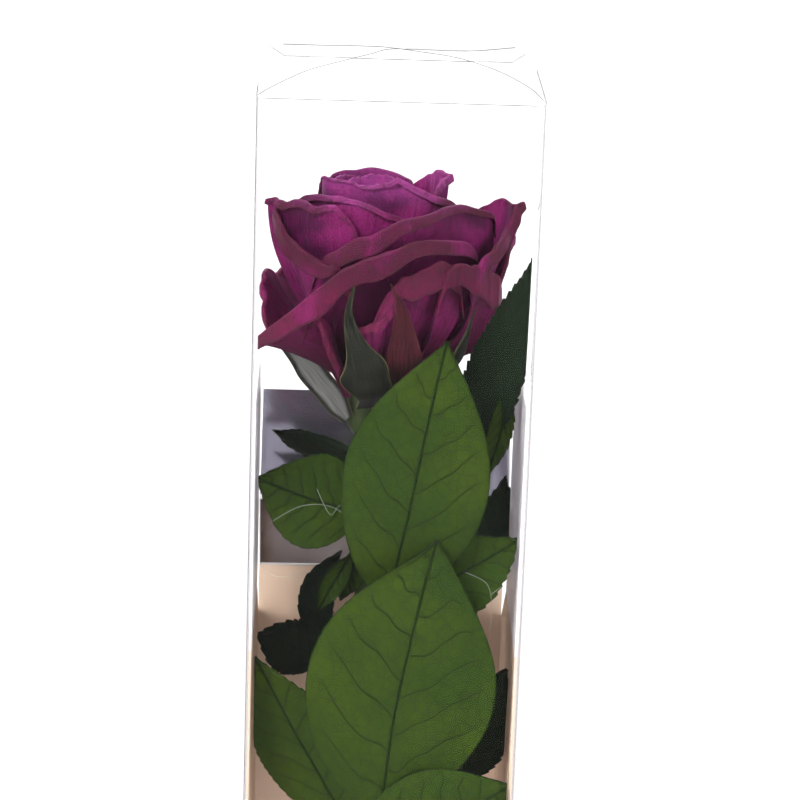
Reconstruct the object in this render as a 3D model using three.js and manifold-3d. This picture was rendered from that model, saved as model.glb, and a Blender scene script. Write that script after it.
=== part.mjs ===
// A preserved rose on its leafy stem, standing in a tall clear film case with a folded mirror card behind
// it. Millimetres, +Z up, the front of the case looks along -Y. The origin is the middle of the underside of
// the case.
import * as THREE from 'three';
import { mergeVertices } from 'three/addons/utils/BufferGeometryUtils.js';
import Module from 'manifold-3d';

const wasm = await Module();
wasm.setup();

// Driving dimensions of the case.
const CASE_WIDTH = 70;
const CASE_HEIGHT = 400;
const FILM = 0.5;
const BASE_FILM = 0.8;
const CORNER_RADIUS = 1.2;
const LID_DEPTH = 68.4;
const DUST_FLAP_DEPTH = 12;
const DUST_FLAP_TAPER = 5;

// Driving dimensions of the folded mirror card.
const CARD = 0.6;
const CLEARANCE = 0.3;
const CARD_TOP = 306;
const RIDGE_HEIGHT = 280;
const RIDGE_FOOT = 256;
const RIDGE_DEPTH = 14;
const SIDE_FLAP_TOP = 322;
const SIDE_FLAP_DEPTH = 64;
const SIDE_FLAP_NOTCH = 14;
const SIDE_FLAP_STEP = 17;

// Driving dimensions of the flower and the foliage.
const BLOOM_AXIS = new THREE.Vector2(-6.5, -1);
const PETAL = 0.45;
const PETAL_GAP = 0.3;
const PETAL_BODY = 0.5;
const PETAL_COLUMNS = 6;
const PETAL_ROWS = 4;
const PETAL_FOLDS = [0, PETAL_BODY, (1 + PETAL_BODY) / 2, 1];
const NO_FOLDS = [0, 1];
const CLAW_SPREAD = 0.35;
const LIP_TURN = 2.85;
const LIP_RADIUS = 0.7;
const LIP_LEAST_RADIUS = 0.33;
const STEM_RADIUS = 2.4;
const STALK_RADIUS = 0.9;
const STEM_TOP = 309;
const HIP_FOOT = 307;
const HIP_RADIUS = 5.2;
const HIP_HEIGHT = 10;
const LEAF = 0.5;
const LEAFLET_STEPS = 10;
const SEPAL_STEPS = 7;
const BLADE_COLUMNS = 2;
const TOOTH_NOTCH = 0.93;
const SEPAL = 0.6;

// How near two corners must be to count as one, and the least volume that a cut takes away.
const WELD = 1e-4;
const LEAST_CUT = 0.001;

const half = CASE_WIDTH / 2;
const inside = half - FILM;
const room = inside - CLEARANCE - PETAL;
const roomByCard = inside - 2 * CLEARANCE - CARD - LEAF;
const { degToRad, lerp } = THREE.MathUtils;

// Closed meshes as solids, and back.
function solidOf(geometry) {
  const bare = geometry.clone();
  for (const name of Object.keys(bare.attributes)) {
    if (name !== 'position') bare.deleteAttribute(name);
  }
  const merged = mergeVertices(bare, WELD);
  return new wasm.Manifold(new wasm.Mesh({
    numProp: 3,
    vertProperties: merged.attributes.position.array,
    triVerts: new Uint32Array(merged.index.array),
  }));
}

function geometryOf(solid) {
  const mesh = solid.getMesh();
  const geometry = new THREE.BufferGeometry();
  geometry.setAttribute('position', new THREE.BufferAttribute(new Float32Array(mesh.vertProperties), 3));
  geometry.setIndex(new THREE.BufferAttribute(new Uint32Array(mesh.triVerts), 1));
  return geometry;
}

function joined(geometries) {
  return geometryOf(geometries.map(solidOf).reduce((all, one) => all.add(one)));
}

function largest(solid) {
  return solid.decompose().reduce((a, b) => (a.volume() > b.volume() ? a : b));
}

// A thin closed sheet around the surface pointAt(u, v), with u and v from 0 to 1.
function sheet(pointAt, columns, rows, thickness) {
  const grid = [];
  for (let j = 0; j <= rows; j++) {
    for (let i = 0; i <= columns; i++) grid.push(pointAt(i / columns, j / rows));
  }
  const id = (i, j) => j * (columns + 1) + i;
  const count = grid.length;
  const positions = new Float32Array(count * 6);
  for (let j = 0; j <= rows; j++) {
    for (let i = 0; i <= columns; i++) {
      const across = grid[id(Math.min(i + 1, columns), j)].clone().sub(grid[id(Math.max(i - 1, 0), j)]);
      const along = grid[id(i, Math.min(j + 1, rows))].clone().sub(grid[id(i, Math.max(j - 1, 0))]);
      const lift = across.cross(along).normalize().multiplyScalar(thickness / 2);
      grid[id(i, j)].clone().add(lift).toArray(positions, id(i, j) * 3);
      grid[id(i, j)].clone().sub(lift).toArray(positions, (count + id(i, j)) * 3);
    }
  }
  const index = [];
  const quad = (a, b, c, d) => index.push(a, b, c, a, c, d);
  for (let j = 0; j < rows; j++) {
    for (let i = 0; i < columns; i++) {
      quad(id(i, j), id(i + 1, j), id(i + 1, j + 1), id(i, j + 1));
      quad(count + id(i, j), count + id(i, j + 1), count + id(i + 1, j + 1), count + id(i + 1, j));
    }
  }
  for (let i = 0; i < columns; i++) {
    quad(id(i, 0), count + id(i, 0), count + id(i + 1, 0), id(i + 1, 0));
    quad(id(i + 1, rows), count + id(i + 1, rows), count + id(i, rows), id(i, rows));
  }
  for (let j = 0; j < rows; j++) {
    quad(id(0, j + 1), count + id(0, j + 1), count + id(0, j), id(0, j));
    quad(id(columns, j), count + id(columns, j), count + id(columns, j + 1), id(columns, j + 1));
  }
  const geometry = new THREE.BufferGeometry();
  geometry.setAttribute('position', new THREE.BufferAttribute(positions, 3));
  geometry.setIndex(index);
  return geometry;
}

// An outline in the plane of x and z, drawn out along y.
function drawnAlongY(outline, start, depth) {
  const shape = new THREE.Shape(outline.map(([x, z]) => new THREE.Vector2(x, z)));
  const geometry = new THREE.ExtrudeGeometry(shape, { depth, bevelEnabled: false });
  return geometry.rotateX(Math.PI / 2).translate(0, start + depth, 0);
}

// An outline in the plane of y and z, drawn out along x.
function drawnAlongX(outline, start, width) {
  const shape = new THREE.Shape(outline.map(([y, z]) => new THREE.Vector2(y, z)));
  const geometry = new THREE.ExtrudeGeometry(shape, { depth: width, bevelEnabled: false });
  return geometry.rotateX(Math.PI / 2).rotateZ(Math.PI / 2).translate(start, 0, 0);
}

// An outline in the plane of x and y, drawn out upwards.
function drawnAlongZ(outline, start, height) {
  const shape = new THREE.Shape(outline.map(([x, y]) => new THREE.Vector2(x, y)));
  return new THREE.ExtrudeGeometry(shape, { depth: height, bevelEnabled: false }).translate(0, 0, start);
}

// The outline of a strip of even thickness laid under a line of [x, z] points.
function strip(line, thickness) {
  const under = line.map((point, i) => {
    const before = line[Math.max(i - 1, 0)];
    const after = line[Math.min(i + 1, line.length - 1)];
    const run = new THREE.Vector2(after[0] - before[0], after[1] - before[1]).normalize();
    return [point[0] + run.y * thickness, point[1] - run.x * thickness];
  });
  return [...line, ...under.reverse()];
}

// A round rod along a smooth line through the points.
function rod(points, radius, steps, sides) {
  const path = new THREE.CatmullRomCurve3(points.map((point) => new THREE.Vector3(...point)));
  const section = new THREE.Shape();
  for (let i = 0; i < sides; i++) {
    const turn = (2 * Math.PI * i) / sides;
    const corner = [radius * Math.cos(turn), radius * Math.sin(turn)];
    if (i === 0) section.moveTo(...corner);
    else section.lineTo(...corner);
  }
  return new THREE.ExtrudeGeometry(section, { steps, bevelEnabled: false, extrudePath: path });
}

const film = new THREE.MeshStandardMaterial({
  color: 0xffffff, roughness: 0.05, metalness: 0, transparent: true, opacity: 0.18,
});
const mirrorCard = new THREE.MeshStandardMaterial({ color: 0xcabfc0, roughness: 0.2, metalness: 0.9 });
const petalSkin = new THREE.MeshStandardMaterial({ color: 0x6b1150, roughness: 0.75, metalness: 0 });
const sepalSkin = new THREE.MeshStandardMaterial({ color: 0x1f2e1c, roughness: 0.7, metalness: 0 });
const driedSkin = new THREE.MeshStandardMaterial({ color: 0x6a2a24, roughness: 0.75, metalness: 0 });
const leafSkin = new THREE.MeshStandardMaterial({ color: 0x3f6b22, roughness: 0.6, metalness: 0 });
const darkLeafSkin = new THREE.MeshStandardMaterial({ color: 0x1c2a17, roughness: 0.65, metalness: 0 });
const stemSkin = new THREE.MeshStandardMaterial({ color: 0x33481f, roughness: 0.65, metalness: 0 });

const group = new THREE.Group();

function add(name, geometry, material) {
  const mesh = new THREE.Mesh(geometry, material.clone());
  mesh.name = name;
  group.add(mesh);
}

// The case: one sheet of film folded into four walls, a base, two curved lid flaps that lock across each
// other, and two dust flaps under them.
function roundedSquare(side, radius) {
  const outline = [];
  const reach = side / 2 - radius;
  const cornerSteps = 2;
  for (let corner = 0; corner < 4; corner++) {
    for (let i = 0; i <= cornerSteps; i++) {
      const turn = (corner + i / cornerSteps) * (Math.PI / 2);
      const signX = corner === 0 || corner === 3 ? 1 : -1;
      const signY = corner < 2 ? 1 : -1;
      outline.push([signX * reach + radius * Math.cos(turn), signY * reach + radius * Math.sin(turn)]);
    }
  }
  return outline;
}

// Each lid flap's profile: distance from the middle of the case and rise above its walls.
const leftLid = [
  [-half, 0], [-30.7, 2.7], [-22.8, 6.6], [-15.1, 9], [-7.7, 11.1], [-3.6, 12.3],
  [3.1, 12.5], [11, 12.4], [17.7, 12.6], [26.6, 13.6],
];
const rightLid = [
  [-28.8, 12.8], [-20.1, 12.8], [-7.7, 12.9], [-1.9, 12.6], [4.3, 11.9], [11.5, 11],
  [17.7, 9.5], [24, 7.3], [30.7, 3.8], [half, 0],
];

function clearCase() {
  const outside = solidOf(drawnAlongZ(roundedSquare(CASE_WIDTH, CORNER_RADIUS), 0, CASE_HEIGHT));
  const hollow = solidOf(drawnAlongZ(
    roundedSquare(CASE_WIDTH - 2 * FILM, CORNER_RADIUS - FILM), BASE_FILM, CASE_HEIGHT));
  const flaps = [leftLid, rightLid].map((line) => {
    const raised = line.map(([x, rise]) => [x, CASE_HEIGHT + rise]);
    return solidOf(drawnAlongY(strip(raised, FILM), -LID_DEPTH / 2, LID_DEPTH));
  });
  const dustFlaps = [-1, 1].map((side) => {
    const root = side * (half - FILM / 2);
    const tip = side * (half - DUST_FLAP_DEPTH);
    const wide = inside + FILM / 2;
    const narrow = wide - DUST_FLAP_TAPER;
    const outline = [[-wide, root], [-narrow, tip], [narrow, tip], [wide, root]];
    if (side > 0) outline.reverse();
    return solidOf(drawnAlongZ(outline, CASE_HEIGHT - FILM, FILM));
  });
  return [...flaps, ...dustFlaps].reduce((all, one) => all.add(one), outside.subtract(hollow));
}

add('clear_case', geometryOf(clearCase()), film);

// The mirror card: a back panel with a ridge folded into it, and a flap along each side wall.
function card() {
  const back = inside - CLEARANCE;
  const side = inside - CLEARANCE;
  const foot = BASE_FILM + CLEARANCE;
  const panelLine = [
    [back, CARD_TOP], [back - RIDGE_DEPTH, RIDGE_HEIGHT], [back, RIDGE_FOOT], [back, foot],
  ];
  const panel = drawnAlongX(strip(panelLine, CARD), -side, 2 * side);
  const front = back - SIDE_FLAP_DEPTH;
  const flapOutline = [
    [front, foot], [back, foot], [back, RIDGE_FOOT - SIDE_FLAP_NOTCH],
    [back - SIDE_FLAP_STEP, RIDGE_FOOT], [back - SIDE_FLAP_STEP, SIDE_FLAP_TOP - SIDE_FLAP_NOTCH],
    [back - 2 * SIDE_FLAP_NOTCH, SIDE_FLAP_TOP], [front, SIDE_FLAP_TOP],
  ];
  const flaps = [-side, side - CARD].map((x) => drawnAlongX(flapOutline, x, CARD));
  return joined([panel, ...flaps]);
}

add('mirror_card', card(), mirrorCard);

// A value that passes smoothly through each number of a list, for t from 0 to 1.
function through(list, t) {
  const place = Math.min(Math.max(t, 0), 1) * (list.length - 1);
  const i = Math.min(Math.floor(place), list.length - 2);
  const f = place - i;
  const [a, b] = [list[i], list[i + 1]];
  const before = list[i - 1] ?? 2 * a - b;
  const after = list[i + 2] ?? 2 * b - a;
  const bend = 3 * (a - b) - before + after;
  return a + 0.5 * f * (b - before + f * (2 * before - 5 * a + 4 * b - after + f * bend));
}

// The bloom. Each petal rises from a claw on the hip to a rim that rolls outwards. claw is its distance from
// the bloom's axis and its height. A rim is a few points from the petal's left to its right: azimuth in
// degrees from the front, distance from the axis, and height. rolled is how far the rim hangs below its
// turn, from left to right. cupped tells how far a petal climbs before it spreads, from 0 for a full bulge
// to 1 for a cup.
const petals = [
  {
    name: 'petal_heart', claw: [1, 330],
    rim: [
      [-175, 2.2, 370], [-60, 2, 371], [60, 1.9, 371], [165, 1.7, 370],
    ],
    rolled: [0.3, 0.3],
  },
  {
    name: 'petal_swirl_1', claw: [1.8, 330],
    rim: [
      [-120, 4.2, 370.6], [-40, 4.7, 371.6], [50, 4.5, 371.6], [110, 3.7, 370.6],
    ],
    rolled: [0.4, 0.6, 0.4],
  },
  {
    name: 'petal_swirl_2', claw: [2.4, 328],
    rim: [
      [60, 6.4, 371], [130, 6.8, 372], [200, 6.6, 372], [260, 5.7, 371],
    ],
    rolled: [0.4, 0.6, 0.4],
  },
  {
    name: 'petal_swirl_3', claw: [3, 327],
    rim: [
      [190, 8.8, 371], [250, 9, 372.4], [330, 8.8, 372], [385, 8, 371],
    ],
    rolled: [0.4, 0.7, 0.4],
  },
  {
    name: 'petal_cup_front', claw: [3.8, 326],
    rim: [
      [-112, 11, 366], [-92, 12, 372], [-74, 12.3, 373.8], [-56, 11.7, 374.1], [-35, 11.4, 374.3],
      [-21, 11.2, 374.2], [-1, 11.2, 373.2], [18, 11.2, 373.9], [34, 11.5, 375], [43, 14, 374],
      [55, 18, 371.1], [72, 21, 368.5], [82, 23, 365],
    ],
    rolled: [0.4, 0.5, 0.5, 0.6, 1.2, 1.5, 1],
  },
  {
    name: 'petal_cup_back', claw: [4.2, 326],
    rim: [
      [96, 10.5, 367], [120, 11.5, 371.4], [170, 12, 372.8], [215, 12, 372.7], [240, 12.4, 371.8],
      [256, 13, 370.8], [268, 13, 366],
    ],
    rolled: [0.3, 0.6, 0.6, 0.3],
  },
  {
    name: 'petal_top_right', claw: [4.8, 325],
    rim: [
      [52, 15.6, 364], [68, 17, 370.8], [90, 17.6, 373.2], [112, 18, 373], [135, 17.8, 370],
      [158, 17, 363],
    ],
    rolled: [0.5, 1.2, 1.5, 1.2, 0.4],
  },
  {
    name: 'petal_upper_left', claw: [5.2, 324],
    rim: [
      [-73, 18.2, 360], [-67, 18.6, 366.4], [-62, 18.6, 369.2], [-52, 18.2, 370.6], [-34, 18, 371.6],
      [-21, 17.6, 371.6], [-7, 17.6, 371], [7, 17.6, 369.3], [20, 17.8, 367.5], [30, 18, 365.2],
      [40, 18, 359],
    ],
    rolled: [0.5, 1.4, 1, 1, 1.2, 0.8],
  },
  {
    name: 'petal_back_inner', claw: [6, 323.4],
    rim: [
      [112, 22, 356], [138, 23, 361], [180, 23.2, 361.6], [222, 22.6, 360.6], [250, 21.4, 354],
    ],
    rolled: [0.5, 1.5, 1.5, 0.5],
  },
  {
    name: 'petal_left_inner', claw: [5.8, 323.5],
    rim: [
      [-112, 19.4, 355], [-100, 20.6, 361.4], [-84, 22, 366.2], [-70, 22.4, 368], [-50, 22.2, 369.6],
      [-35, 21.6, 369.6], [-23, 20.8, 369.6], [-12, 20.4, 365.6], [-4, 20.4, 357],
    ],
    rolled: [0.3, 0.7, 1.6, 1.4, 1, 0.4],
  },
  {
    name: 'petal_diagonal_upper', claw: [6.4, 323],
    rim: [
      [-37, 23.2, 349], [-30, 23.4, 354.4], [-25, 23.6, 357.6], [-15, 23.8, 360.6], [-5, 23.8, 362.9],
      [6, 23.8, 364.8], [18, 23.8, 366.7], [31, 23.8, 368.4], [46, 24, 369.7], [59, 25, 369.3],
      [73, 27.4, 367.5], [83, 30.6, 364.8], [90, 31.6, 359],
    ],
    rolled: [1, 2.6, 4, 3.4, 1.8, 1.4, 0.6],
  },
  {
    name: 'petal_left_flap', claw: [7, 322.5], cupped: 0.3,
    rim: [
      [-150, 21.6, 350], [-122, 22, 358.6], [-98, 22.6, 363.6], [-80, 23.6, 365.4], [-69, 24.8, 365.4],
      [-58, 26, 363.6], [-47, 26.4, 360.8], [-34, 26.4, 357.8], [-24, 26.4, 356.4], [-16, 26.4, 355],
      [-9, 26.2, 349],
    ],
    rolled: [0.6, 0.8, 0.8, 2, 3.6, 3.4, 2.6, 0.8],
  },
  {
    name: 'petal_back_left', claw: [7.6, 322],
    rim: [
      [160, 26.4, 348], [182, 27.4, 356], [206, 27.6, 357], [224, 27, 349.6],
    ],
    rolled: [1, 2.5, 2.5, 1],
  },
  {
    name: 'petal_right_tall', claw: [8, 322.3],
    rim: [
      [51, 32.6, 349], [56, 33, 356.2], [65, 33.5, 358.4], [75, 33.8, 360], [82, 34.4, 363],
      [85, 35.8, 366.2], [90, 36.4, 367.4], [100, 34.5, 366.4], [108, 33, 364.8], [118, 31, 361.4],
      [134, 30, 352],
    ],
    rolled: [0.8, 2.4, 2.6, 2, 1.2, 1, 0.6],
  },
  {
    name: 'petal_diagonal_lower', claw: [9, 321], cupped: 0.8,
    rim: [
      [-66, 28.6, 332], [-60, 30, 334.8], [-46, 30.4, 340.8], [-34, 30.4, 346.1], [-23, 30.2, 351.2],
      [-14, 30, 355.3], [-5, 29.6, 358.6], [5, 29.4, 360.7], [15, 29.2, 362.3], [30, 29.2, 362.8],
      [50, 29.2, 360.9], [59, 29.2, 358.7], [65, 29, 355.8], [69, 28.8, 349],
    ],
    rolled: [1.2, 3.2, 5.6, 6.2, 5.8, 4.8, 3.8, 2.6, 1.8, 0.8],
  },
  {
    name: 'petal_back_right', claw: [8.8, 321.4],
    rim: [
      [146, 31, 344], [160, 31, 351], [178, 30.4, 352], [196, 30, 350], [209, 29.4, 342],
    ],
    rolled: [1, 2.5, 2.5, 1],
  },
  {
    name: 'petal_left_hollow', claw: [9.4, 321.2], cupped: 0.5,
    rim: [
      [-132, 24, 339], [-106, 24.6, 345.4], [-88, 25.4, 348.6], [-76, 26.4, 348.8], [-68, 27.6, 345.8],
      [-62, 28.6, 341], [-56, 29.2, 334],
    ],
    rolled: [0.4, 0.8, 1.4, 1.8, 1.5, 0.5],
  },
  {
    name: 'petal_right_low', claw: [9.6, 320.6], cupped: 0.4,
    rim: [
      [73, 33, 344], [77, 34.2, 352], [81, 35.4, 357], [87, 35.8, 358.8], [96, 35.2, 358],
      [112, 34.2, 353], [130, 33, 343],
    ],
    rolled: [0.8, 1.6, 1.6, 0.6],
  },
  {
    name: 'petal_front_low', claw: [10.3, 319.8],
    rim: [
      [2, 28.6, 341.6], [7, 29, 348], [11, 29.4, 351.8], [17, 29.8, 353.9], [24, 30.2, 355.7],
      [35, 30.6, 357.5], [42, 30.4, 355.8], [46, 30, 353], [50, 29.8, 344],
    ],
    rolled: [0.8, 3, 5, 6, 5.6, 2],
  },
  {
    name: 'petal_right_fold', claw: [10.8, 319.4], cupped: 0.3,
    rim: [
      [32, 31.6, 345], [34, 32, 354], [38, 32, 356.6], [46, 32.2, 356.8], [54, 32.6, 355.7],
      [63, 33.2, 353.6], [71, 33.6, 350.4], [77, 33.6, 345], [80, 33.2, 337],
    ],
    rolled: [0.8, 3, 5.5, 8, 8.5, 4, 0.4],
  },
  {
    name: 'petal_front_curl', claw: [11, 319],
    rim: [
      [-13, 26.5, 326], [-8, 28.6, 337.3], [-4, 29.6, 341.6], [-1, 30, 343], [4, 30.2, 344],
      [8, 30.2, 345.6], [12, 30, 348.1], [16, 29.9, 348.4], [21, 29.8, 342.8], [26, 29.4, 333],
    ],
    rolled: [0.4, 1.2, 1.4, 2, 3, 2.4, 0.5],
  },
  {
    name: 'petal_guard_left', claw: [11.4, 318.4], cupped: 0.8,
    rim: [
      [-37, 27, 335], [-31, 28.2, 340], [-26, 29, 343], [-23, 29.2, 343.6], [-20, 29, 339.9],
      [-17, 28.6, 335.6], [-13, 28, 331.4], [-10, 27.2, 326],
    ],
    rolled: [0.4, 0.8, 1.4, 2.4, 3, 2.4, 1.2],
  },
  {
    name: 'petal_back_low', claw: [10, 320],
    rim: [
      [188, 31.6, 333], [202, 31.8, 341], [220, 30.6, 343], [236, 28.4, 341.6], [248, 27, 334],
    ],
    rolled: [0.6, 2, 2, 0.6],
  },
  {
    name: 'petal_back_right_low', claw: [11.6, 318.6],
    rim: [
      [100, 35.4, 331], [120, 35.2, 338.6], [148, 34, 341], [172, 33, 339], [185, 32.2, 331],
    ],
    rolled: [0.6, 2, 2, 0.6],
  },
];

// Keeps a point within the walls, and between the card's side flaps below their top.
function keptIn(point) {
  const wide = point.z > SIDE_FLAP_TOP + 1 ? room : roomByCard;
  point.x = THREE.MathUtils.clamp(point.x, -wide, wide);
  point.y = THREE.MathUtils.clamp(point.y, -room, room);
  return point;
}

const UPWARDS = new THREE.Vector3(0, 0, 1);

// A point of the bloom at an azimuth from the front, a distance from its axis and a height.
function aroundBloom(azimuth, distance, height) {
  const turn = degToRad(azimuth);
  return new THREE.Vector3(
    BLOOM_AXIS.x + distance * Math.sin(turn), BLOOM_AXIS.y - distance * Math.cos(turn), height);
}

function petalSurface({ claw, rim, rolled, cupped = 0 }) {
  const column = (k) => rim.map((point) => point[k]);
  const [azimuths, distances, heights] = [column(0), column(1), column(2)];
  const middle = (azimuths[0] + azimuths[azimuths.length - 1]) / 2;
  const body = (u, w) => {
    const azimuth = through(azimuths, u);
    const fan = lerp(CLAW_SPREAD, 1, Math.min(w, 1) ** 0.6);
    const bulge = Math.sin((Math.PI / 2) * w);
    return aroundBloom(
      middle + (azimuth - middle) * fan,
      lerp(claw[0], through(distances, u), lerp(bulge, w ** 1.2, cupped)),
      lerp(claw[1], through(heights, u), lerp(w, bulge, cupped)));
  };
  return (u, v) => {
    if (v <= PETAL_BODY) return keptIn(body(u, v / PETAL_BODY));
    const edge = body(u, 1);
    const up = edge.clone().sub(body(u, 0.93)).normalize().lerp(UPWARDS, cupped).normalize();
    const across = body(Math.min(u + 0.05, 1), 1).sub(body(Math.max(u - 0.05, 0), 1));
    const out = across.cross(up).normalize();
    const hang = through(rolled, u);
    const radius = Math.max(LIP_RADIUS * Math.min(1, hang / 2), LIP_LEAST_RADIUS);
    const share = (2 * (v - PETAL_BODY)) / (1 - PETAL_BODY);
    const turn = LIP_TURN * Math.min(share, 1);
    const past = hang * Math.max(share - 1, 0);
    edge.addScaledVector(up, radius * Math.sin(turn) + past * Math.cos(LIP_TURN));
    edge.addScaledVector(out, radius * (1 - Math.cos(turn)) + past * Math.sin(LIP_TURN));
    return keptIn(edge);
  };
}

// The room that a sheet takes up with its gap, joined from one strip between each two folds, so that a tight
// bend stays a sound solid.
function roomFor(surface, columns, rows, thickness, folds) {
  const strip = (from, to) => {
    const part = (u, v) => surface(u, lerp(from, to, v));
    return solidOf(sheet(part, columns, Math.round(rows * (to - from)), thickness));
  };
  let whole = strip(folds[0], folds[1]);
  for (let k = 1; k < folds.length - 1; k++) whole = whole.add(strip(folds[k], folds[k + 1]));
  return whole;
}

// Laid from the heart outwards, each petal keeps a gap to those inside it.
const laid = [];
function clearOf(surface, columns, rows, thickness, folds) {
  let solid = solidOf(sheet(surface, columns, rows, thickness));
  for (const other of laid) {
    const cut = solid.subtract(other);
    if (cut.volume() < solid.volume() - LEAST_CUT) solid = largest(cut);
  }
  laid.push(roomFor(surface, columns, rows, thickness + 2 * PETAL_GAP, folds), solid);
  return geometryOf(solid);
}

for (const petal of petals) {
  add(petal.name, clearOf(petalSurface(petal), PETAL_COLUMNS, PETAL_ROWS, PETAL, PETAL_FOLDS), petalSkin);
}

// A blade such as a leaflet or a sepal: a centre line of [x, y, z] points, the way its face looks, its width,
// how far its two halves fold up towards the face, and how far it twists in degrees. outlineAt gives the
// share of the width along it.
function bladeSurface({ line, face, width, fold = 0, twist = 0 }, outlineAt) {
  const columns = [0, 1, 2].map((k) => line.map((point) => point[k]));
  const centre = (t) => new THREE.Vector3(...columns.map((column) => through(column, t)));
  const looks = new THREE.Vector3(...face).normalize();
  return (u, v) => {
    const run = centre(Math.min(v + 0.02, 1)).sub(centre(Math.max(v - 0.02, 0))).normalize();
    const side = run.clone().cross(looks).normalize().applyAxisAngle(run, -degToRad(twist * v));
    const up = side.clone().cross(run);
    const reach = (width / 2) * outlineAt(v);
    const across = 2 * u - 1;
    const margin = centre(v).addScaledVector(side, across * reach);
    return keptIn(margin.addScaledVector(up, Math.abs(across) * reach * fold));
  };
}

// The stem, with the hip that the petals and sepals grow from.
const stemLine = [
  [1.5, 3, 1.2], [-1, 2, 110], [-4, 0, 210], [-5.5, -0.6, 270], [BLOOM_AXIS.x, BLOOM_AXIS.y, STEM_TOP],
];
const hipProfile = [
  [0, 0], [STEM_RADIUS, 0], [HIP_RADIUS * 0.86, HIP_HEIGHT * 0.3], [HIP_RADIUS, HIP_HEIGHT * 0.6],
  [HIP_RADIUS * 0.8, HIP_HEIGHT], [0, HIP_HEIGHT],
].map(([r, z]) => new THREE.Vector2(r, z));
const hip = new THREE.LatheGeometry(hipProfile, 10)
  .rotateX(Math.PI / 2)
  .translate(BLOOM_AXIS.x, BLOOM_AXIS.y, HIP_FOOT);
add('stem', joined([rod(stemLine, STEM_RADIUS, 10, 8), hip]), stemSkin);

// The sepals stand around the hip, pressed to the outer petals.
const sepals = [
  {
    name: 'sepal_front', width: 12, face: [-0.15, 1, 0.4], skin: sepalSkin,
    line: [
      [-6.1, -8, 314.6], [-5, -24, 322.1], [-5.7, -29.2, 327.3], [-6.8, -31.8, 332],
      [-8.5, -33, 336.4], [-10.3, -33.4, 341.1], [-11.3, -33.5, 347], [-10.2, -33.5, 353.3],
    ],
  },
  {
    name: 'sepal_left', width: 9, face: [-0.1, -1, 0.3], twist: 50, skin: sepalSkin,
    line: [
      [-10.8, -5.8, 311], [-15.4, -7.8, 317.8], [-20.8, -10, 325.6], [-26.6, -10.6, 332],
      [-31.4, -8.2, 337.6], [-33, -5, 344],
    ],
  },
  {
    name: 'sepal_dried', width: 8.4, face: [0.1, 1, 0.4], skin: driedSkin,
    line: [
      [0.8, -9, 317], [2.6, -18, 322], [2.9, -26, 329.5], [2.6, -30.6, 337], [2.2, -32.8, 343.5],
      [1.4, -33.4, 348.5], [0.2, -33.6, 351.5], [-1.2, -33.6, 354.4],
    ],
  },
  {
    name: 'sepal_right', width: 5.5, face: [-0.7, 0.7, 0.5], skin: sepalSkin,
    line: [
      [-1, -3.5, 316], [8, -9, 319], [15, -16.4, 328], [17.6, -20.4, 335.7], [19, -22.4, 341.4],
      [20.2, -23.4, 345.6],
    ],
  },
  {
    name: 'sepal_back', width: 7.5, face: [0.5, -0.8, 0.4], skin: sepalSkin,
    line: [
      [-8, 5, 314], [-12, 15, 317], [-17, 24, 325], [-20, 30, 336], [-20.6, 32, 346],
    ],
  },
];
const sepalWidths = [0.5, 0.8, 1, 0.96, 0.76, 0.5, 0.28, 0.14, 0.05];
const sepalOutline = (t) => through(sepalWidths, t);
for (const { name, skin, ...sepal } of sepals) {
  const surface = bladeSurface(sepal, sepalOutline);
  add(name, clearOf(surface, BLADE_COLUMNS, SEPAL_STEPS, SEPAL, NO_FOLDS), skin);
}

// The leaf stalks, from just off the stem to the foot of each leaf's last leaflet.
const stalks = [
  { name: 'stalk_upper', line: [[-5.2, -4.3, 250], [-5.4, -9, 259], [-5.4, -17, 266], [-5.2, -24.6, 269]] },
  { name: 'stalk_middle', line: [[-4, -3.6, 196], [-3, -9, 203], [-1.4, -18, 210], [0.2, -28.4, 213.5]] },
  { name: 'stalk_lower', line: [[-3.6, -3.2, 178], [-5.5, -10, 186], [-9, -20, 194], [-13, -30.6, 200]] },
  { name: 'stalk_right', line: [[-1.8, -0.4, 262], [4, -0.8, 272], [12, -4, 281], [19, -8, 289]] },
  { name: 'stalk_left', line: [[-8.2, 1.2, 232], [-11, 1, 238], [-14, 0.6, 241]] },
];
for (const { name, line } of stalks) add(name, clearOfRod(line), stemSkin);

function clearOfRod(line) {
  laid.push(solidOf(rod(line, STALK_RADIUS + CLEARANCE, 6, 6)));
  return rod(line, STALK_RADIUS, 6, 6);
}

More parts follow.
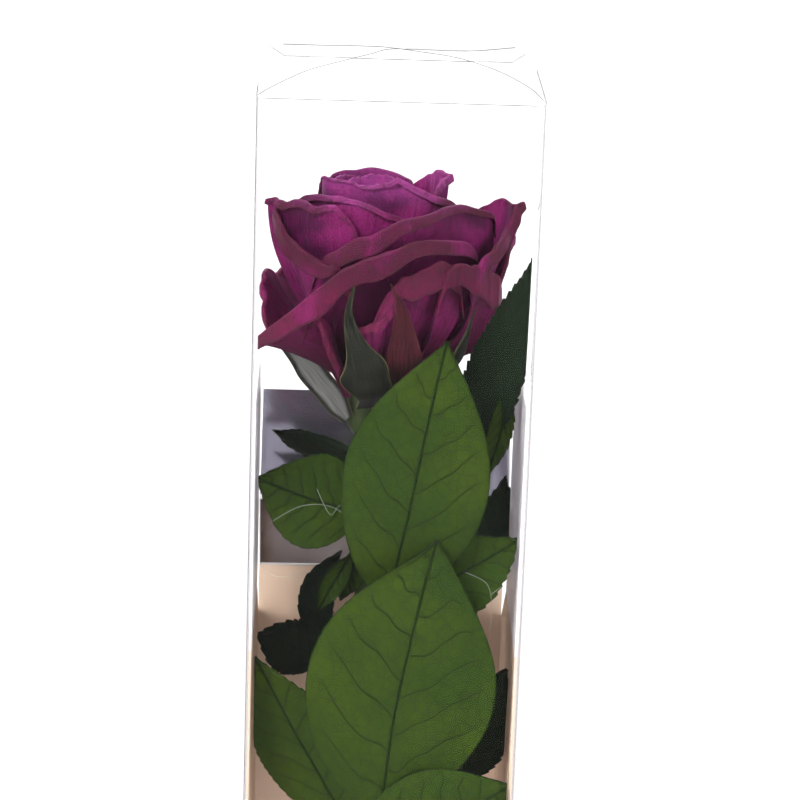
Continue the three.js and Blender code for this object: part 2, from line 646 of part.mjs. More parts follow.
// The leaflets, with saw teeth along both margins. Each line runs from foot to tip.
const leaflets = [
  {
    name: 'leaflet_front_upper', width: 38, face: [0, -1, 0.1], fold: 0.05, skin: leafSkin,
    line: [[0.9, -25.5, 268.8], [5, -30.2, 292.4], [8.8, -31.9, 316], [13.2, -31, 339.5]],
  },
  {
    name: 'leaflet_front_middle', width: 49, face: [0, -1, 0], fold: 0.02, skin: leafSkin,
    line: [[0.8, -29.5, 212], [3.1, -31.5, 237.3], [7.2, -32.8, 262.7], [12.5, -32.8, 288]],
  },
  {
    name: 'leaflet_front_lower', width: 33, face: [0, -1, 0], fold: 0, skin: leafSkin,
    line: [[-2.9, -31.5, 197.4], [16.1, -33, 209.8], [34.2, -33.2, 221.8]],
  },
  {
    name: 'leaflet_left_upper', width: 25, face: [0.1, -1, 0.2], fold: 0.1, skin: leafSkin,
    line: [[-6, -16.5, 289], [-19.5, -18.2, 293], [-33.4, -20.2, 299]],
  },
  {
    name: 'leaflet_left_dark', width: 10, face: [0, 1, 0.35], fold: 0.1, skin: darkLeafSkin,
    line: [[-7.5, 3, 297], [-20.2, 7, 299.2], [-30, 8, 302.8]],
  },
  {
    name: 'leaflet_right_upper', width: 16, face: [0.3, 0.95, 0], fold: 0.08, skin: darkLeafSkin,
    line: [[17.5, -7.5, 292], [23.6, -12, 315], [29.2, -16.6, 337], [34.2, -21, 358.4]],
  },
  {
    name: 'leaflet_right_pale', width: 8, face: [0.4, -0.9, 0.2], fold: 0.1, skin: leafSkin,
    line: [[29.6, -13, 322], [28, -14, 309.5], [24.4, -14, 297.6]],
  },
  {
    name: 'leaflet_right_back', width: 12, face: [0.2, 1, 0.2], fold: 0.1, skin: darkLeafSkin,
    line: [[24.5, 5, 264], [27.6, 5.6, 273.2], [30, 6.6, 282.4], [31.4, 7, 292]],
  },
  {
    name: 'leaflet_right_middle', width: 23, face: [0, -1, 0.1], fold: 0.08, skin: leafSkin,
    line: [[0, -21.5, 265.2], [17.4, -24.6, 275.2], [34.2, -27, 287]],
  },
  {
    name: 'leaflet_small_front', width: 6.4, face: [0, -1, 0.2], fold: 0.2, skin: leafSkin,
    line: [[-9, -11, 275], [-13.2, -12, 267.6], [-17.2, -12.5, 260]],
  },
  {
    name: 'leaflet_small_back', width: 8, face: [0, -1, 0.2], fold: 0.2, skin: leafSkin,
    line: [[-6.4, -7.5, 276], [-8.8, -8.5, 269], [-11.2, -9, 262]],
  },
  {
    name: 'leaflet_left_shade', width: 10, face: [0, 1, 0], fold: 0.1, skin: darkLeafSkin,
    line: [[-14, 4, 242], [-17.4, 5, 252], [-16.4, 5, 262], [-11.2, 4, 271]],
  },
  {
    name: 'leaflet_left_serrate', width: 18, face: [0, 1, 0.1], fold: 0.1, skin: darkLeafSkin,
    line: [[-15.6, 0.4, 241.6], [-24, 1, 244.6], [-33, 1.6, 247.6]],
  },
  {
    name: 'leaflet_left_lower', width: 29, face: [-0.35, -1, 0], fold: 0.06, skin: leafSkin,
    line: [[-7, -19, 202], [-19.8, -21.2, 226], [-32.8, -24, 251.6]],
  },
  {
    name: 'leaflet_right_shade', width: 24, face: [0, 1, 0], fold: 0.1, skin: darkLeafSkin,
    line: [[12.7, -13, 210.5], [23, -17, 229], [32.4, -19, 248]],
  },
  {
    name: 'leaflet_left_low', width: 24, face: [0, -1, 0.3], fold: 0.08, skin: leafSkin,
    line: [[-11, -20, 193], [-21, -22, 190], [-32, -23, 184]],
  },
  {
    name: 'leaflet_right_low', width: 24, face: [0.1, -1, 0.3], fold: 0.08, skin: leafSkin,
    line: [[-5, -14, 187], [12, -19, 184], [30, -24, 176]],
  },
  {
    name: 'leaflet_back', width: 26, face: [0, 1, 0.1], fold: 0.08, skin: darkLeafSkin,
    line: [[0, 4.6, 226], [8, 12, 250], [14, 15, 276]],
  },
];
const leafletOutline = (t) => {
  const tooth = Math.round(t * LEAFLET_STEPS) % 2 === 0 ? 1 : TOOTH_NOTCH;
  return Math.max(0.03, tooth * Math.sin(Math.PI * t ** 0.88) ** (0.65 + 0.35 * t));
};
for (const { name, skin, ...leaflet } of leaflets) {
  const surface = bladeSurface(leaflet, leafletOutline);
  add(name, clearOf(surface, BLADE_COLUMNS, LEAFLET_STEPS, LEAF, NO_FOLDS), skin);
}

export default group;
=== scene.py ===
"""A preserved rose on its leafy stem, in a tall clear film gift case with a folded mirror card."""
import math

import bpy
import numpy as np
from bpy.props import FloatProperty, FloatVectorProperty, IntProperty, PointerProperty
from mathutils import Matrix, Vector


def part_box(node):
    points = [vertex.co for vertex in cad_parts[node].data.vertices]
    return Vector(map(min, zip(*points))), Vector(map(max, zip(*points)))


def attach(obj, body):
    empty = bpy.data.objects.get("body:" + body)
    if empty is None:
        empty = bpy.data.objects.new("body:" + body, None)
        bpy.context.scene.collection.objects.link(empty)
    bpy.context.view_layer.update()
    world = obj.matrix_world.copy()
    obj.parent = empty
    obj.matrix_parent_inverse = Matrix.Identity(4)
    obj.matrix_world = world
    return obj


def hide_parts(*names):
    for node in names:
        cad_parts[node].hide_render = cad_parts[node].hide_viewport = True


bl_info = {
    "name": "Preserved rose in gift case",
    "version": (1, 0, 0),
    "blender": (4, 5, 0),
    "location": "3D View > Sidebar > Rose",
    "description": "Dresses the packed frame of a preserved rose in a clear film gift case",
    "category": "Object",
}

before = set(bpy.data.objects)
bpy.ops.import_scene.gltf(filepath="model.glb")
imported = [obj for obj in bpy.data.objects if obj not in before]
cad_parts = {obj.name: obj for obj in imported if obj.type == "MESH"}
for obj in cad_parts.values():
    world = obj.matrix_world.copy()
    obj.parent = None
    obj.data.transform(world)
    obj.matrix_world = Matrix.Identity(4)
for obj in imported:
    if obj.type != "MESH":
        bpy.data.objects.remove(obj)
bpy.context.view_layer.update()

MM = 0.001


# Sizes in millimetres, worked out from the frame where it has them.
def box_mm(node):
    return [[v / MM for v in corner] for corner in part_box(node)]


HALF = box_mm("clear_case")[1][0]
WALL_TOP = 400.0
CAD_FILM = 0.5
CARD_LOW, CARD_HIGH = box_mm("mirror_card")
CARD = 0.6
CARD_TOP = 306.0
RIDGE_HEIGHT = 280.0
RIDGE_FOOT = 256.0
RIDGE_DEPTH = 14.0
SIDE_FLAP_TOP = CARD_HIGH[2]
SIDE_FLAP_NOTCH = 14.0

# How far the middle of a petal or a leaf may reach: up to the walls, and up to the card's side flaps, with a
# gap and room for its own thickness.
GAP = 0.3
BESIDE_WALL, BESIDE_FLAP = 0.45, 0.5
ROOM = HALF - CAD_FILM - GAP - BESIDE_WALL
ROOM_BY_CARD = CARD_HIGH[0] - CARD - GAP - BESIDE_FLAP

# The bloom's axis and the way its petals are folded, as in the frame's solids: how wide a petal is at its
# claw, the share of its grid below its lip, and the turn and radius of the lip.
BLOOM_AXIS = (-6.5, -1.0)
CLAW_SPREAD = 0.35
PETAL_BODY = 0.6
LIP_TURN = 2.85
LIP_RADIUS = 0.7

# The grids' points along and across each sheet.
PETAL_ROWS, PETAL_COLUMNS = 60, 56
LEAF_COLUMNS, STEPS_A_TOOTH, FEWEST_TEETH = 33, 6, 10
SEPAL_ROWS, SEPAL_COLUMNS = 90, 25
HIP_ROWS, HIP_COLUMNS = 26, 48
CARD_STEPS, CARD_COLUMNS = 40, 25
WALL_LEVELS, LID_ROWS, DUST_FLAP_ROWS, FLAP_COLUMNS = 41, 60, 12, 15

# Leaves and sepals take their seeds this far above the petals' seeds.
LEAF_SEEDS, SEPAL_SEEDS = 300, 700

# Edges that turn by more than this are shown sharp.
SHARP_ANGLE = math.radians(55)


# Nodes, and shader maths.
def feed(tree, node, inputs):
    """Gives a node's sockets their values, or links them to what they vary with."""
    for key, value in inputs.items():
        socket = node.inputs[key]
        value = value.socket if isinstance(value, Field) else value
        if isinstance(value, bpy.types.NodeSocket):
            tree.links.new(value, socket)
        else:
            socket.default_value = (*value, 1.0) if socket.type == "RGBA" else value


def new_node(tree, kind, inputs=None, **settings):
    """Adds a node: its settings first, then the values or links of its sockets."""
    node = tree.nodes.new(kind)
    for key, value in settings.items():
        setattr(node, key, value)
    feed(tree, node, inputs or {})
    return node


def maths(operation, reflected=False):
    """A method of Field that adds a Math node. Where it is reflected, the field itself comes last."""
    def method(self, *others):
        values = [*others, self] if reflected else [self, *others]
        return self.paint.field("ShaderNodeMath", dict(enumerate(values)), operation=operation)
    return method


class Field:
    """A number that varies over a surface. Python's operators add the Math nodes."""

    def __init__(self, paint, socket):
        self.paint = paint
        self.socket = socket

    __add__ = __radd__ = maths("ADD")
    __sub__ = maths("SUBTRACT")
    __rsub__ = maths("SUBTRACT", reflected=True)
    __mul__ = __rmul__ = maths("MULTIPLY")
    __truediv__ = maths("DIVIDE")
    __abs__ = maths("ABSOLUTE")
    wave = maths("SINE")
    fract = maths("FRACT")
    most = maths("MAXIMUM")

    def ramp(self, low, high):
        """0 below low and 1 above high, smoothly between; low may be the larger."""
        if low > high:
            return 1 - self.ramp(high, low)
        return self.paint.field(
            "ShaderNodeMapRange", {"Value": self, "From Min": low, "From Max": high},
            interpolation_type="SMOOTHSTEP")


class Paint:
    """A material and the nodes that feed its Principled shader."""

    def __init__(self, name, **plain):
        self.material = bpy.data.materials.new(name)
        self.material.use_nodes = True
        self.tree = self.material.node_tree
        self.feed_shader(plain)

    def feed_shader(self, inputs):
        """Sets or links the shader's sockets, whose spaces are low lines here."""
        inputs = {key.replace("_", " "): value for key, value in inputs.items() if value is not None}
        feed(self.tree, self.tree.nodes["Principled BSDF"], inputs)

    def node(self, kind, inputs=None, **settings):
        return new_node(self.tree, kind, inputs, **settings)

    def field(self, kind, inputs=None, output=0, **settings):
        return Field(self, self.node(kind, inputs, **settings).outputs[output])

    def attributes(self, *names):
        """The fields that thin_sheet keeps on a mesh."""
        return [self.field("ShaderNodeAttribute", output="Fac", attribute_name=name) for name in names]

    def place(self):
        return self.node("ShaderNodeTexCoord").outputs["Object"]

    def along(self, axis):
        """Place along X, Y or Z from the middle of the case's foot, in metres."""
        return self.field("ShaderNodeSeparateXYZ", {0: self.place()}, axis)

    def from_point(self, point):
        """Distance from a point, both in metres."""
        ends = {0: self.place(), 1: point}
        return self.field("ShaderNodeVectorMath", ends, "Value", operation="DISTANCE")

    def stretched(self, by):
        return self.node("ShaderNodeVectorMath", {0: self.place(), 1: by}, operation="MULTIPLY").outputs[0]

    def noise(self, scale, detail=3.0, rough=0.55, warp=0.0, over=None):
        """Noise from 0 to 1 at so many grains a metre, or over another vector than the place."""
        return self.field("ShaderNodeTexNoise", {
            "Vector": self.place() if over is None else over, "Scale": scale, "Detail": detail,
            "Roughness": rough, "Distortion": warp})

    def flat_noise(self, across, along, scale, detail):
        """Noise over two fields that follow the surface."""
        over = self.node("ShaderNodeCombineXYZ", {0: across, 1: along}).outputs[0]
        return self.noise(scale, detail, 0.5, over=over)

    def cells(self, scale):
        """Distance to the nearest cell wall of a net with so many cells a metre."""
        return self.field(
            "ShaderNodeTexVoronoi", {"Vector": self.place(), "Scale": scale}, feature="DISTANCE_TO_EDGE")

    def mix(self, mask, first, second):
        """first where mask is 0, second where it is 1."""
        factor, colour_a, colour_b, colour_out = 0, 6, 7, 2
        inputs = {factor: mask, colour_a: first, colour_b: second}
        return self.node("ShaderNodeMix", inputs, data_type="RGBA").outputs[colour_out]

    def coated(self, colour, *coats):
        """A colour under coats of other colours, each given with the mask that says where it lies."""
        for mask, coat in coats:
            colour = self.mix(mask, colour, coat)
        return colour

    def finish(self, colour=None, roughness=None, relief=None, depth=0.0001, **fields):
        """Links what varies to the shader; depth is the relief's height in metres."""
        if relief is not None:
            fields["Normal"] = self.field(
                "ShaderNodeBump", {"Height": relief, "Distance": depth, "Strength": 1.0})
        self.feed_shader({"Base_Color": colour, "Roughness": roughness, **fields})
        return self.material


def times(colour, share):
    return tuple(share * c for c in colour)


# Smooth lines and thin sheets.
def through(values, t):
    """Values that pass smoothly through a list of numbers, for t from 0 to 1."""
    values = np.asarray(values, float)
    place = np.clip(t, 0, 1) * (len(values) - 1)
    i = np.minimum(np.floor(place).astype(int), len(values) - 2)
    f = place - i
    padded = np.concatenate(([2 * values[0] - values[1]], values, [2 * values[-1] - values[-2]]))
    before, a, b, after = (padded[i + k] for k in range(4))
    bend = 3 * (a - b) - before + after
    return a + 0.5 * f * (b - before + f * (2 * before - 5 * a + 4 * b - after + f * bend))


def lerp(a, b, t):
    return a + (b - a) * t


def ease(x):
    x = np.clip(x, 0, 1)
    return x * x * (3 - 2 * x)


def unit(vectors):
    return vectors / np.maximum(np.linalg.norm(vectors, axis=-1, keepdims=True), 1e-9)


def grid(x, y, z):
    """Points from three arrays, each stretched over the others' rows and columns."""
    return np.stack(np.broadcast_arrays(x, y, z), axis=-1)


def swell(u, v, seed, waves=5, reach=3.0):
    """Soft uneven waves over u and v, about -1 to 1, always the same for a seed."""
    rng = np.random.default_rng(seed)
    total = np.zeros(np.broadcast(u, v).shape)
    for _ in range(waves):
        across, along = rng.uniform(-reach, reach, 2)
        total += np.sin(2 * math.pi * (across * u + along * v) + rng.uniform(0, 2 * math.pi))
    return total / math.sqrt(waves)


def kept_in(points):
    """Points kept within the case's walls, and between the card's flaps up to just above their top."""
    wide = np.where(points[..., 2] > SIDE_FLAP_TOP + 1, ROOM, ROOM_BY_CARD)
    points[..., 0] = np.clip(points[..., 0], -wide, wide)
    points[..., 1] = np.clip(points[..., 1], -ROOM, ROOM)
    return points


def in_scene(name, data):
    """A new object at the origin."""
    made = bpy.data.objects.new(name, data)
    bpy.context.scene.collection.objects.link(made)
    return made


def mesh_object(name, points, faces, material, smooth=True):
    """A mesh from points in millimetres."""
    mesh = bpy.data.meshes.new(name)
    mesh.from_pydata((points.reshape(-1, 3) * MM).tolist(), [], [list(map(int, f)) for f in faces])
    mesh.validate()
    mesh.materials.append(material)
    if smooth:
        mesh.polygons.foreach_set("use_smooth", [True] * len(mesh.polygons))
        mesh.set_sharp_from_angle(angle=SHARP_ANGLE)
    return in_scene(name, mesh)


def closed_tube(name, rings, material, smooth=True):
    """A closed mesh from rings of points, with a flat face on the first and on the last ring."""
    levels, around = rings.shape[:2]
    last = (levels - 1) * around
    faces = [(row + i, row + (i + 1) % around, row + around + (i + 1) % around, row + around + i)
             for row in range(0, last, around) for i in range(around)]
    faces += [range(around)[::-1], range(last, last + around)]
    return mesh_object(name, rings, faces, material, smooth)


def thin_sheet(name, points, thickness, material, fields, rim_material=None):
    """A closed sheet around a grid of points (rows, columns, 3). fields are numbers on that grid, kept as
    attributes for the material, with face added: 1 on the side that the normals look to, 0 on the other."""
    rows, columns = points.shape[:2]
    normals = unit(np.cross(np.gradient(points, axis=1), np.gradient(points, axis=0)))
    lift = normals * np.broadcast_to(thickness, (rows, columns))[..., None] / 2
    ids = np.arange(rows * columns).reshape(rows, columns)
    under = ids + rows * columns

    def quads(a, b, c, d):
        return np.stack([a, b, c, d], axis=-1).reshape(-1, 4)

    faces = np.concatenate([
        quads(ids[:-1, :-1], ids[:-1, 1:], ids[1:, 1:], ids[1:, :-1]),
        quads(under[1:, :-1], under[1:, 1:], under[:-1, 1:], under[:-1, :-1]),
        quads(ids[0, :-1], under[0, :-1], under[0, 1:], ids[0, 1:]),
        quads(ids[-1, 1:], under[-1, 1:], under[-1, :-1], ids[-1, :-1]),
        quads(ids[1:, 0], under[1:, 0], under[:-1, 0], ids[:-1, 0]),
        quads(ids[:-1, -1], under[:-1, -1], under[1:, -1], ids[1:, -1]),
    ])
    piece = mesh_object(name, np.stack([points + lift, points - lift]), faces, material)
    mesh = piece.data
    if rim_material:
        mesh.materials.append(rim_material)
        on_rim = np.arange(len(mesh.polygons)) >= 2 * (rows - 1) * (columns - 1)
        mesh.polygons.foreach_set("material_index", on_rim.astype(np.int32))
    sides = np.broadcast_to([[[1.0]], [[0.0]]], (2, rows, columns))
    for key, value in {**fields, "face": sides}.items():
        value = np.broadcast_to(value, sides.shape).ravel()
        mesh.attributes.new(key, "FLOAT", "POINT").data.foreach_set("value", value)
    return piece


def placed(piece, slot, *nodes):
    """Rides the piece on the case's body and lets it stand for its solids. slot is not used."""
    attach(piece, "root")
    if nodes:
        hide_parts(*nodes)


# The petals.
# Each petal: its claw as distance from the axis and height, how far its rolled rim hangs from left to right,
# its drawn-out tips as place along the rim, rise, reach outwards and half width, and its rim from left to
# right as azimuth from the front in degrees, distance from the axis and height.
PETALS = {
    "petal_heart": ((1.0, 330), [0.3, 0.3], [], [
        (-175, 2.2, 370), (-60, 2, 371), (60, 1.9, 371), (165, 1.7, 370)]),
    "petal_swirl_1": ((1.8, 330), [0.4, 0.6, 0.4], [], [
        (-120, 4.2, 370.6), (-40, 4.7, 371.6), (50, 4.5, 371.6), (110, 3.7, 370.6)]),
    "petal_swirl_2": ((2.4, 328), [0.4, 0.6, 0.4], [], [
        (60, 6.4, 371), (130, 6.8, 372), (200, 6.6, 372), (260, 5.7, 371)]),
    "petal_swirl_3": ((3.0, 327), [0.4, 0.7, 0.4], [], [
        (190, 8.8, 371), (250, 9, 372.4), (330, 8.8, 372), (385, 8, 371)]),
    "petal_cup_front": (
        (3.8, 326), [0.4, 0.5, 0.5, 0.6, 1.2, 1.5, 1], [(0.2, 0.7, 0.4, 0.03), (0.66, 0.5, 0.3, 0.04)], [
        (-112, 11, 366), (-92, 12, 372), (-74, 12.3, 373.8), (-56, 11.7, 374.1), (-35, 11.4, 374.3),
        (-21, 11.2, 374.2), (-1, 11.2, 373.2), (18, 11.2, 373.9), (34, 11.5, 375), (43, 14, 374),
        (55, 18, 371.1), (72, 21, 368.5), (82, 23, 365)]),
    "petal_cup_back": ((4.2, 326), [0.3, 0.6, 0.6, 0.3], [], [
        (96, 10.5, 367), (120, 11.5, 371.4), (170, 12, 372.8), (215, 12, 372.7), (240, 12.4, 371.8),
        (256, 13, 370.8), (268, 13, 366)]),
    "petal_top_right": ((4.8, 325), [0.5, 1.2, 1.5, 1.2, 0.4], [(0.42, 1.2, 2.4, 0.05)], [
        (52, 15.6, 364), (68, 17, 370.8), (90, 17.6, 373.2), (112, 18, 373), (135, 17.8, 370),
        (158, 17, 363)]),
    "petal_upper_left": ((5.2, 324), [0.5, 1.4, 1, 1, 1.2, 0.8], [(0.14, 0.8, 0.6, 0.04)], [
        (-73, 18.2, 360), (-67, 18.6, 366.4), (-62, 18.6, 369.2), (-52, 18.2, 370.6), (-34, 18, 371.6),
        (-21, 17.6, 371.6), (-7, 17.6, 371), (7, 17.6, 369.3), (20, 17.8, 367.5), (30, 18, 365.2),
        (40, 18, 359)]),
    "petal_back_inner": ((6.0, 323.4), [0.5, 1.5, 1.5, 0.5], [], [
        (112, 22, 356), (138, 23, 361), (180, 23.2, 361.6), (222, 22.6, 360.6), (250, 21.4, 354)]),
    "petal_left_inner": ((5.8, 323.5), [0.3, 0.7, 1.6, 1.4, 1, 0.4], [(0.25, 0.8, 4.4, 0.045)], [
        (-112, 19.4, 355), (-100, 20.6, 361.4), (-84, 22, 366.2), (-70, 22.4, 368), (-50, 22.2, 369.6),
        (-35, 21.6, 369.6), (-23, 20.8, 369.6), (-12, 20.4, 365.6), (-4, 20.4, 357)]),
    "petal_diagonal_upper": ((6.4, 323), [1, 2.6, 4, 3.4, 1.8, 1.4, 0.6], [(0.05, 0.8, 0.8, 0.03)], [
        (-37, 23.2, 349), (-30, 23.4, 354.4), (-25, 23.6, 357.6), (-15, 23.8, 360.6), (-5, 23.8, 362.9),
        (6, 23.8, 364.8), (18, 23.8, 366.7), (31, 23.8, 368.4), (46, 24, 369.7), (59, 25, 369.3),
        (73, 27.4, 367.5), (83, 30.6, 364.8), (90, 31.6, 359)]),
    "petal_left_flap": ((7.0, 322.5), [0.6, 0.8, 0.8, 2, 3.6, 3.4, 2.6, 0.8], [(0.88, 0.8, 0.6, 0.03)], [
        (-150, 21.6, 350), (-122, 22, 358.6), (-98, 22.6, 363.6), (-80, 23.6, 365.4), (-69, 24.8, 365.4),
        (-58, 26, 363.6), (-47, 26.4, 360.8), (-34, 26.4, 357.8), (-24, 26.4, 356.4), (-16, 26.4, 355),
        (-9, 26.2, 349)]),
    "petal_back_left": ((7.6, 322), [1, 2.5, 2.5, 1], [], [
        (160, 26.4, 348), (182, 27.4, 356), (206, 27.6, 357), (224, 27, 349.6)]),
    "petal_right_tall": ((8.0, 322.3), [0.8, 2.4, 2.6, 2, 1.2, 1, 0.6], [(0.56, 1, 1.8, 0.025)], [
        (51, 32.6, 349), (56, 33, 356.2), (65, 33.5, 358.4), (75, 33.8, 360), (82, 34.4, 363),
        (85, 35.8, 366.2), (90, 36.4, 367.4), (100, 34.5, 366.4), (108, 33, 364.8), (118, 31, 361.4),
        (134, 30, 352)]),
    "petal_diagonal_lower": (
        (9.0, 321), [1.2, 3.2, 5.6, 6.2, 5.8, 4.8, 3.8, 2.6, 1.8, 0.8], [(0.07, 0.4, 1.0, 0.03)], [
        (-66, 28.6, 332), (-60, 30, 334.8), (-46, 30.4, 340.8), (-34, 30.4, 346.1), (-23, 30.2, 351.2),
        (-14, 30, 355.3), (-5, 29.6, 358.6), (5, 29.4, 360.7), (15, 29.2, 362.3), (30, 29.2, 362.8),
        (50, 29.2, 360.9), (59, 29.2, 358.7), (65, 29, 355.8), (69, 28.8, 349)]),
    "petal_back_right": ((8.8, 321.4), [1, 2.5, 2.5, 1], [], [
        (146, 31, 344), (160, 31, 351), (178, 30.4, 352), (196, 30, 350), (209, 29.4, 342)]),
    "petal_left_hollow": ((9.4, 321.2), [0.4, 0.8, 1.4, 1.8, 1.5, 0.5], [], [
        (-132, 24, 339), (-106, 24.6, 345.4), (-88, 25.4, 348.6), (-76, 26.4, 348.8), (-68, 27.6, 345.8),
        (-62, 28.6, 341), (-56, 29.2, 334)]),
    "petal_right_low": ((9.6, 320.6), [0.8, 1.6, 1.6, 0.6], [(0.5, 0.8, 0.6, 0.05)], [
        (73, 33, 344), (77, 34.2, 352), (81, 35.4, 357), (87, 35.8, 358.8), (96, 35.2, 358),
        (112, 34.2, 353), (130, 33, 343)]),
    "petal_front_low": ((10.3, 319.8), [0.8, 3, 5, 6, 5.6, 2], [], [
        (2, 28.6, 341.6), (7, 29, 348), (11, 29.4, 351.8), (17, 29.8, 353.9), (24, 30.2, 355.7),
        (35, 30.6, 357.5), (42, 30.4, 355.8), (46, 30, 353), (50, 29.8, 344)]),
    "petal_right_fold": ((10.8, 319.4), [0.8, 3, 5.5, 8, 8.5, 4, 0.4], [], [
        (32, 31.6, 345), (34, 32, 354), (38, 32, 356.6), (46, 32.2, 356.8), (54, 32.6, 355.7),
        (63, 33.2, 353.6), (71, 33.6, 350.4), (77, 33.6, 345), (80, 33.2, 337)]),
    "petal_front_curl": ((11.0, 319), [0.4, 1.2, 1.4, 2, 3, 2.4, 0.5], [(0.13, 0.6, 0.8, 0.03)], [
        (-13, 26.5, 326), (-8, 28.6, 337.3), (-4, 29.6, 341.6), (-1, 30, 343), (4, 30.2, 344),
        (8, 30.2, 345.6), (12, 30, 348.1), (16, 29.9, 348.4), (21, 29.8, 342.8), (26, 29.4, 333)]),
    "petal_guard_left": ((11.4, 318.4), [0.4, 0.8, 1.4, 2.4, 3, 2.4, 1.2], [], [
        (-37, 27, 335), (-31, 28.2, 340), (-26, 29, 343), (-23, 29.2, 343.6), (-20, 29, 339.9),
        (-17, 28.6, 335.6), (-13, 28, 331.4), (-10, 27.2, 326)]),
    "petal_back_low": ((10.0, 320), [0.6, 2, 2, 0.6], [], [
        (188, 31.6, 333), (202, 31.8, 341), (220, 30.6, 343), (236, 28.4, 341.6), (248, 27, 334)]),
    "petal_back_right_low": ((11.6, 318.6), [0.6, 2, 2, 0.6], [], [
        (100, 35.4, 331), (120, 35.2, 338.6), (148, 34, 341), (172, 33, 339), (185, 32.2, 331)]),
}

# How far a petal climbs before it spreads, from 0 for a full bulge to 1 for a cup.
CUPPED = {
    "petal_left_hollow": 0.5, "petal_diagonal_lower": 0.8, "petal_guard_left": 0.8, "petal_left_flap": 0.3,
    "petal_right_low": 0.4, "petal_right_fold": 0.3,
}


def around_bloom(azimuth, distance, height):
    turn = np.radians(azimuth)
    return grid(BLOOM_AXIS[0] + distance * np.sin(turn), BLOOM_AXIS[1] - distance * np.cos(turn), height)


# How uneven a petal is, in millimetres: the broad and fine waves of its rim's height, those of its rim's
# distance from the axis, and the billows of its body. Then how a rolled lip hangs: the least of it, the
# share by which it varies, and how far up the body its direction is read.
RISE_WAVES = (0.45, 0.18)
REACH_WAVES = (0.35, 0.15)
BILLOW = 0.35
LEAST_HANG = 0.05
UNEVEN_HANG = 0.12
BELOW_RIM = 0.93


def petal_grid(claw, rim, rolled, tips, seed, u, v, cupped):
    """A petal's middle surface: u runs along its rim, and v from its claw to its hanging lip."""
    azimuths, distances, heights = (
        through([point[k] for point in rim], u) + np.zeros_like(v) for k in range(3))
    middle = (rim[0][0] + rim[-1][0]) / 2
    for place, rise, out, half_width in tips:
        drawn = np.exp(-np.abs(u - place) / half_width)
        distances = distances + out * drawn
        heights = heights + rise * drawn
    inner = 1 - np.abs(2 * u - 1) ** 3

    def rim_waves(broad, fine, reach, draw):
        """Broad and fine waves, which die away at the rim's two ends."""
        return (broad * swell(u, 0 * v, seed + draw, reach=reach)
                + fine * swell(u, 0 * v, seed + draw + 5, reach=14.0)) * inner

    heights = heights + rim_waves(*RISE_WAVES, reach=5.0, draw=0)
    distances = distances + rim_waves(*REACH_WAVES, reach=6.0, draw=1)

    def body(w):
        fan = lerp(CLAW_SPREAD, 1, np.minimum(w, 1) ** 0.6)
        billow = BILLOW * swell(u, w, seed + 2, waves=6, reach=2.0) * np.sin(math.pi * np.clip(w, 0, 1))
        bulge = np.sin(math.pi / 2 * w)
        return around_bloom(
            middle + (azimuths - middle) * fan,
            lerp(claw[0], distances, lerp(bulge, w ** 1.2, cupped)) + billow,
            lerp(claw[1], heights, lerp(w, bulge, cupped)))

    edge = body(np.ones_like(v))
    up = unit(edge - body(np.full_like(v, BELOW_RIM)))
    up = unit(lerp(up, np.array([0, 0, 1.0]), cupped))
    turn = np.radians(azimuths)
    out = grid(np.sin(turn), -np.cos(turn), 0.0)
    out = unit(out - up * np.sum(out * up, axis=-1, keepdims=True))
    uneven = 1 + UNEVEN_HANG * swell(u, 0 * v, seed + 3, reach=5.0)
    hang = np.maximum(through(rolled, u) * uneven, LEAST_HANG)
    radius = LIP_RADIUS * np.minimum(1, hang / 2)
    share = np.clip(2 * (v - PETAL_BODY) / (1 - PETAL_BODY), 0, 2)
    turned = LIP_TURN * np.minimum(share, 1)
    past = hang * np.maximum(share - 1, 0)
    rise = radius * np.sin(turned) + past * math.cos(LIP_TURN)
    reach = radius * (1 - np.cos(turned)) + past * math.sin(LIP_TURN)
    lip = edge + up * rise[..., None] + out * reach[..., None]
    return kept_in(np.where((v > PETAL_BODY)[..., None], lip, body(np.minimum(v / PETAL_BODY, 1))))


def make_petals(sizes, colours):
    material = petal_paint(colours)
    u = np.linspace(0, 1, PETAL_COLUMNS)[None, :]
    v = np.linspace(0, 1, PETAL_ROWS)[:, None]
    thickness = lerp(sizes.petal_base / MM, sizes.petal_lip / MM, v)
    for number, (name, (claw, rolled, tips, rim)) in enumerate(PETALS.items()):
        points = petal_grid(
            claw, rim, rolled, tips, sizes.seed + 10 * number, u, v, CUPPED.get(name, 0.0))
        width = np.radians(rim[-1][0] - rim[0][0]) * rim[len(rim) // 2][1]
        skin = thin_sheet(name + "_skin", points, thickness, material, {"across": u * width, "along": v})
        placed(skin, "petals", name)


# Where the bloom's tones lie, each from where it starts to where it is full: distances from the heart and
# heights in metres, and shares of a petal from its claw to its lip.
HEART = (-0.0075, -0.002, 0.372)
# Where the painted highlight lies: round the heart, where it is partly the petals' own brighter colour, and
# on the top of the bloom.
HEART_TONE_AND_HIGHLIGHT = (0.013, 0.004)
TOP_HIGHLIGHT = (0.367, 0.374)
# Where the lower half takes its redder tone, which is partly painted light that lifts its shade.
LOW_TONE_AND_LIGHT = (0.362, 0.342)
# Where painted shade lies: at the bloom's foot, on the higher rims, and towards the petals' claws.
FOOT_SHADE = (0.342, 0.325)
SHADED_HIGH_RIMS = (0.346, 0.358)
CLAW_SHADE = (0.4, 0.1)
ROLLED_RIM = (0.57, 0.66)
CREASED_RIM = (0.6, 0.8)
LIP = (0.965, 0.995)


